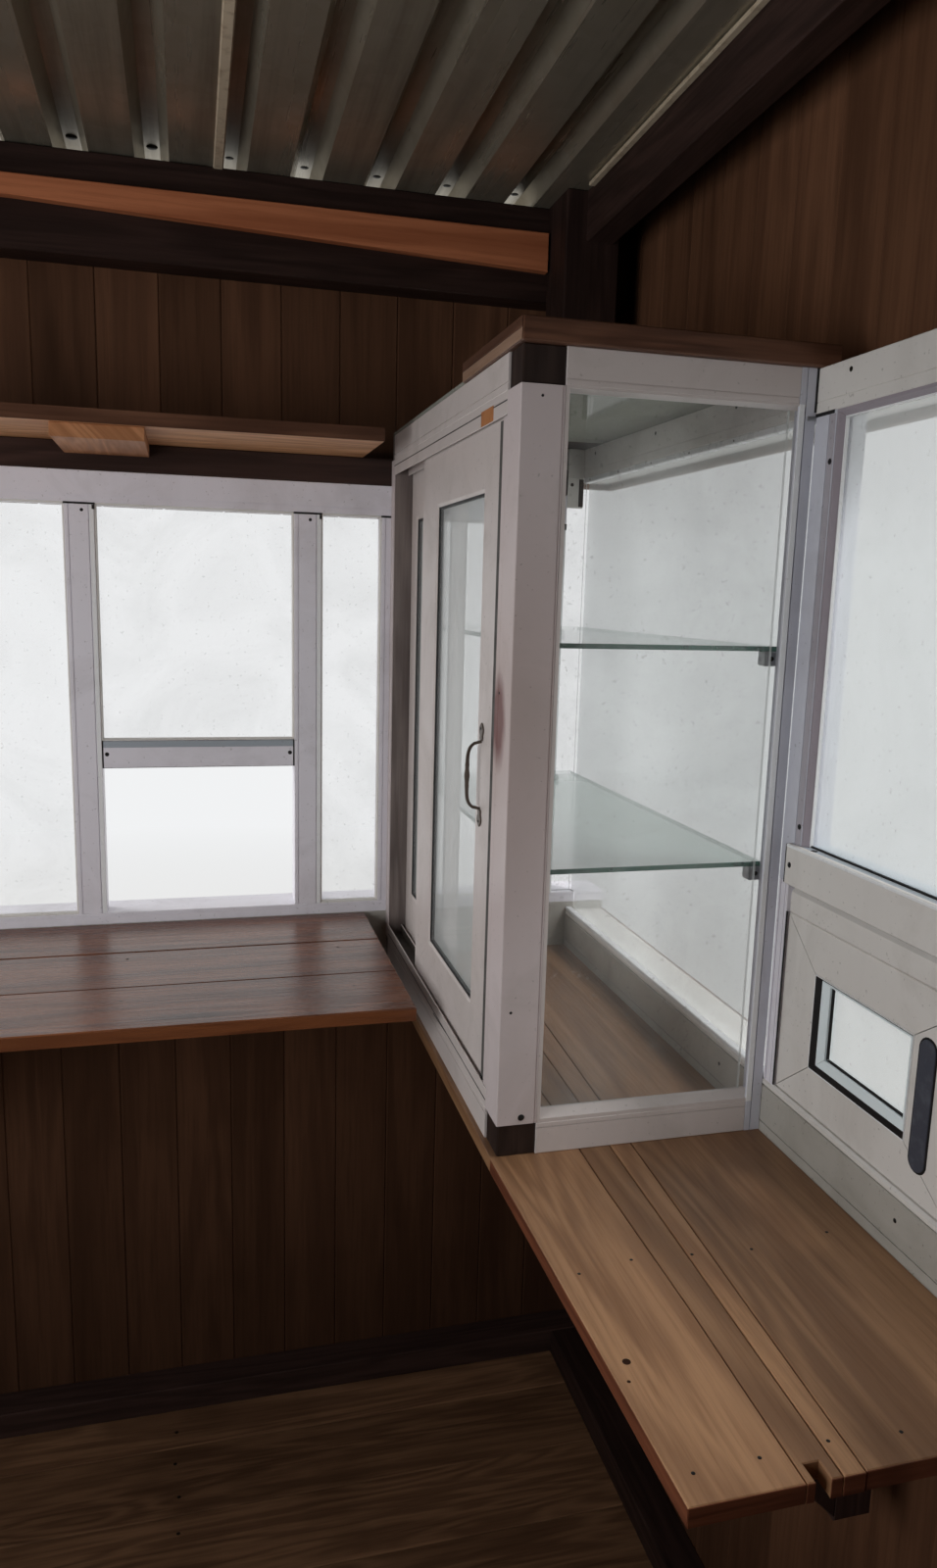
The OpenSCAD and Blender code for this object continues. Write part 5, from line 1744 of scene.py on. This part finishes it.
    def door(self, node: str, body: str, stiles: Flat, seal: float) -> None:
        """Makes a sliding door: mitred white frame and dark seal.

        Args:
            node: The door's CAD node.
            body: The body that it rides on.
            stiles: Widths of its near and far stiles.
            seal: Width of its seal.
        """
        low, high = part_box(node)
        made = Solid(CASE_WHITE, RUBBER_AND_SHADOW)
        x0, x1 = low.x, high.x
        made.ring(low, high, Axis.X, (*stiles, self.low_rail, self.top_rail), [
            (0, x1 - 0.0008), (0, x0 + 0.0008), (0.02, x0), (0.95, x0), (1, x0 + 0.002), (1, x1 - 0.002),
            (0.95, x1), (0.02, x1)])
        made.ring((x0, low.y + stiles[0], low.z + self.low_rail),
                  (x1, high.y - stiles[1], high.z - self.top_rail), Axis.X,
                  (seal,) * 4, [(0, x1 - 0.0025), (0, x0 + 0.0022), (1, x0 + 0.003), (1, x1 - 0.003)], 1)
        made.piece(f"{node}_frame", node, body=body)

    def handle(self) -> None:
        """Makes the wrought bow handle on the near door: two leaves and a bow with a swell and two collars."""
        low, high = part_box("near_door_handle")
        made = Solid(IRON)
        y, base, half = (low.y + high.y) / 2, high.x - 0.002, self.leaf_tall / 2
        both = [*self.leaf, *((-u, v) for u, v in reversed(self.leaf[1:-1]))]
        for z, way in ((high.z - half, 1), (low.z + half, -1)):
            made.prism([(y + u, z + way * v * half) for u, v in both], Axis.X, base, high.x, 0.0006)
            STUDS.add((base, y, z + way * 0.0045), Facing.LEFT, 0.0018, 0.5, SCREW, NEAR_DOOR)
        path, widths, middle = [], [], (low.z + high.z) / 2
        for k in range(self.bow_points):
            t = -1 + 2 * k / (self.bow_points - 1)
            out = self.bow_reach * (1 - abs(t) ** 5.5) ** 0.5
            path.append((base + 0.001 - out, y, middle + t * self.bow_half))
            swell = 0.0011 * math.exp(-(t / 0.13) ** 2) + 0.0006 * math.exp(-((abs(t) - 0.3) / 0.03) ** 2)
            widths.append(self.bow_radius + swell + 0.0006 * (1 - t * t))
        made.tube(path, widths)
        mesh = made.mesh("handle")
        mesh.shade_smooth()
        mesh.set_sharp_from_angle(angle=math.radians(40))
        settle("handle_bow", mesh, IRON, "near_door_handle", body=NEAR_DOOR)

    def build(self) -> None:
        """Makes the case."""
        self.posts()
        self.rails()
        self.panes()
        self.board()
        self.door("near_case_door", NEAR_DOOR, self.near_stiles, self.near_seal)
        self.door("far_case_door", FAR_DOOR, self.far_stiles, self.far_seal)
        self.handle()


@dataclass
class Entrance:
    """The boarded rear door in its frame, with strap hinges."""

    boards: int = 8
    ledge: float = 0.09
    leaf: float = 0.02
    post: float = 0.06
    edge: float = 0.02
    brace_edge: float = 0.04
    strap: float = 0.004
    strap_end: float = 0.786
    knuckle_x: float = 0.7975
    knuckle_r: float = 0.005

    def frame(self) -> None:
        """Makes the door frame's posts and head."""
        low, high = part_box("door_frame")
        x0, x1 = low.x + self.post, high.x - self.post
        made = Solid(DARK)
        made.blocks((low, (x0, high.y, high.z), Axis.Z, PLANED), ((x1, low.y, low.z), high, Axis.Z, PLANED),
                    ((x0, low.y, high.z - self.post), (x1, high.y, high.z), Axis.X, PLANED))
        made.piece("door_frame_timbers", "door_frame")

    def door(self) -> None:
        """Makes the leaf: upright boards on ledges and braces, with nails in pairs."""
        low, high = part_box("entrance_door")
        made = Solid(LEAF)
        step, face, h = (high.x - low.x) / self.boards, low.y + self.leaf, self.ledge
        for k in range(self.boards):
            made.block((low.x + k * step, low.y, low.z), (low.x + (k + 1) * step - 0.0004, face, high.z),
                       Axis.Z, 0.003)
        levels = (low.z + h, (low.z + high.z - h) / 2, high.z - 2 * h)
        for z in levels:
            made.block((low.x + self.edge, face, z), (high.x - self.edge, high.y, z + h), Axis.X, PLANED)
            for k in range(self.boards):
                for share in (0.3, 0.7):
                    x = low.x + (k + 0.5) * step
                    STUDS.add((x, low.y, z + h * share), Facing.REAR, 0.0035, 0.35)
                    STUDS.add((x, high.y, z + h * share), Facing.STREET, 0.003, 0.3)
        for z0, z1 in zip(levels, levels[1:]):
            slope = (high.x - low.x - 2 * self.brace_edge - h) / (z1 - z0)
            a, b = low.x + self.brace_edge + h / 2 * slope, high.x - self.brace_edge - h - h / 2 * slope
            made.prism([(a, z0 + h), (a + h, z0 + h), (b + h, z1), (b, z1)], Axis.Y, face, high.y, 0.002,
                       grain=Axis.X)
        made.piece("door_leaf", "entrance_door")

    def build(self) -> None:
        """Makes the frame, the leaf and the hinges."""
        self.frame()
        self.door()
        made = Solid(BLACK)
        for low, high in solids("door_hinges"):
            y0, y1, x, r = high.y - self.strap, high.y, self.strap_end, self.knuckle_r
            z = (low.z + high.z) / 2
            made.prism([(low.x, z - 0.008), (x, z - 0.018), (x, z + 0.018), (low.x, z + 0.008)], Axis.Y, y0, y1,
                       0.0006)
            made.block((x, y0, low.z), (high.x, y1, high.z), Axis.Z, 0.0006)
            for z0, z1 in ((0.001, 0.0115), (0.0125, 0.0235), (0.0245, 0.035)):
                made.tube([(self.knuckle_x, y1 - r, low.z + end) for end in (z0, z1)], [r] * 2)
            for x in (low.x + 0.015, low.x + 0.07, low.x + 0.125, 0.815, 0.833):
                STUDS.add((x, y0, z), Facing.REAR, 0.0045)
        made.piece("strap_hinges", "door_hinges")


@dataclass
class Studio:
    """The camera at the photograph's viewpoint, soft lamps, a pale floor and a pale world."""

    focal: float = 1085.33
    frame_height: int = 1600
    sensor: float = 36
    place: Point = (0.436, -0.732, 1.685)
    right: Point = (0.9674, -0.2518, 0.0268)
    up: Point = (0.0184, 0.1756, 0.9843)
    back: Point = (-0.2526, -0.9517, 0.1745)
    lamps: tuple[tuple[str, Point, Point, float, float], ...] = (
        ("key", (3.4, -3.0, 4.8), (0, 0, 1.0), 3.0, 170),
        ("fill", (-4.2, 3.4, 3.4), (0, 0, 1.0), 3.0, 150),
        ("side", (1.95, 0.0, 2.95), (0.9, 0.05, 1.0), 0.35, 28),
        ("room", (-0.8, -0.5, 1.6), (1.0, 0.6, 1.4), 0.9, 14.5),
        ("low", (-0.3, 0.25, 1.35), (1.1, 1.0, 1.9), 0.5, 1.6))
    sky: Colour = (1, 0.99, 0.97)
    sky_power: float = 0.75
    ground: Colour = (0.74, 0.74, 0.73)
    ground_reach: float = 30
    ground_fade: Flat = (2.6, 7.0)

    def camera(self) -> None:
        """Sets the camera."""
        data = bpy.data.cameras.new("camera")
        data.lens, data.sensor_width = self.sensor * self.focal / self.frame_height, self.sensor
        data.clip_start, data.clip_end = 0.02, 100
        camera = bpy.data.objects.new("camera", data)
        turn = Matrix((self.right, self.up, self.back)).transposed()
        camera.matrix_world = Matrix.Translation(self.place) @ turn.to_4x4()
        bpy.context.scene.collection.objects.link(camera)
        bpy.context.scene.camera = camera
        bpy.context.scene.view_settings.view_transform = "Standard"
        bpy.context.scene.cycles.transparent_max_bounces = 24

    def light(self) -> None:
        """Sets the lamps, each with its place, aim, size and power, and the world."""
        for name, at, aim, size, power in self.lamps:
            lamp = bpy.data.lights.new(name, "AREA")
            lamp.size, lamp.energy = size, power
            holder = bpy.data.objects.new(name, lamp)
            holder.location = at
            holder.rotation_euler = (Vector(aim) - Vector(at)).to_track_quat("-Z", "Y").to_euler()
            holder.visible_camera = holder.visible_glossy = holder.visible_transmission = False
            bpy.context.scene.collection.objects.link(holder)
        world = bpy.data.worlds.new("world")
        bpy.context.scene.world = world
        world.use_nodes = True
        graph = Graph(world.node_tree)
        graph.tree.nodes.clear()
        light, seen = (graph.node("ShaderNodeBackground", {"Color": colour, "Strength": power}).outputs[0]
                       for colour, power in ((self.sky, self.sky_power), (BACKDROP, 1.0)))
        mixed = graph.node("ShaderNodeMixShader", {0: graph.seen(), 1: light, 2: seen}).outputs[0]
        graph.node("ShaderNodeOutputWorld", {"Surface": mixed})

    def floor(self) -> None:
        """Lays a pale floor that keeps the hut's shadow and runs into the background's colour further out."""
        shade = Shade("ground_shade")
        shade.set(Base_Color=self.ground, Roughness=0.8)
        away = shade.span(shade.vector("LENGTH", shade.place(), (0, 0, 0)), *self.ground_fade)
        glow = shade.node("ShaderNodeEmission", {"Color": BACKDROP}).outputs[0]
        blend = shade.node("ShaderNodeMixShader", {
            0: shade.math("MULTIPLY", away, shade.seen()), 1: shade.bsdf.outputs[0], 2: glow})
        shade.feed(shade.out.inputs["Surface"], blend.outputs[0])
        ground, r = bpy.data.meshes.new("ground"), self.ground_reach
        ground.from_pydata([(-r, -r, 0), (r, -r, 0), (r, r, 0), (-r, r, 0)], [], [(0, 1, 2, 3)])
        floor = bpy.data.objects.new("ground", ground)
        ground.materials.append(shade.material)
        bpy.context.scene.collection.objects.link(floor)

    def build(self) -> None:
        """Sets the camera, the light and the floor."""
        self.camera()
        self.light()
        self.floor()


def dress_glass(top_panel_z: float = 1.945) -> None:
    """Gives the panes kept from the CAD their finishes.

    Args:
        top_panel_z: Height over which the case's glass is the pale top panel.
    """
    kept = {"window_glass": CLEAR, "case_glass": CLEAR, "case_shelves": SHELF_GLASS,
            "near_case_door_glass": CLEAR, "far_case_door_glass": CLEAR}
    for node, finish in kept.items():
        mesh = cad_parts[node].data
        mesh.materials.clear()
        mesh.materials.append(finish.material())
        if node == "case_glass":
            mesh.materials.append(TOP_PANEL.material())
            for face in mesh.polygons:
                face.material_index = int(face.center.z > top_panel_z)


def main() -> None:
    """Builds the kiosk's looks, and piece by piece."""
    logging.basicConfig(level=logging.INFO, format="%(name)s: %(message)s")
    Studio().build()
    boarding = boarding_tree()
    Timbers().build(boarding)
    Walls().build(boarding)
    for part in (Roof, Windows, Sashes, Counters, DisplayCase, Entrance):
        part().build()
    dress_glass()
    STUDS.build()


if __name__ == "__main__":
    main()
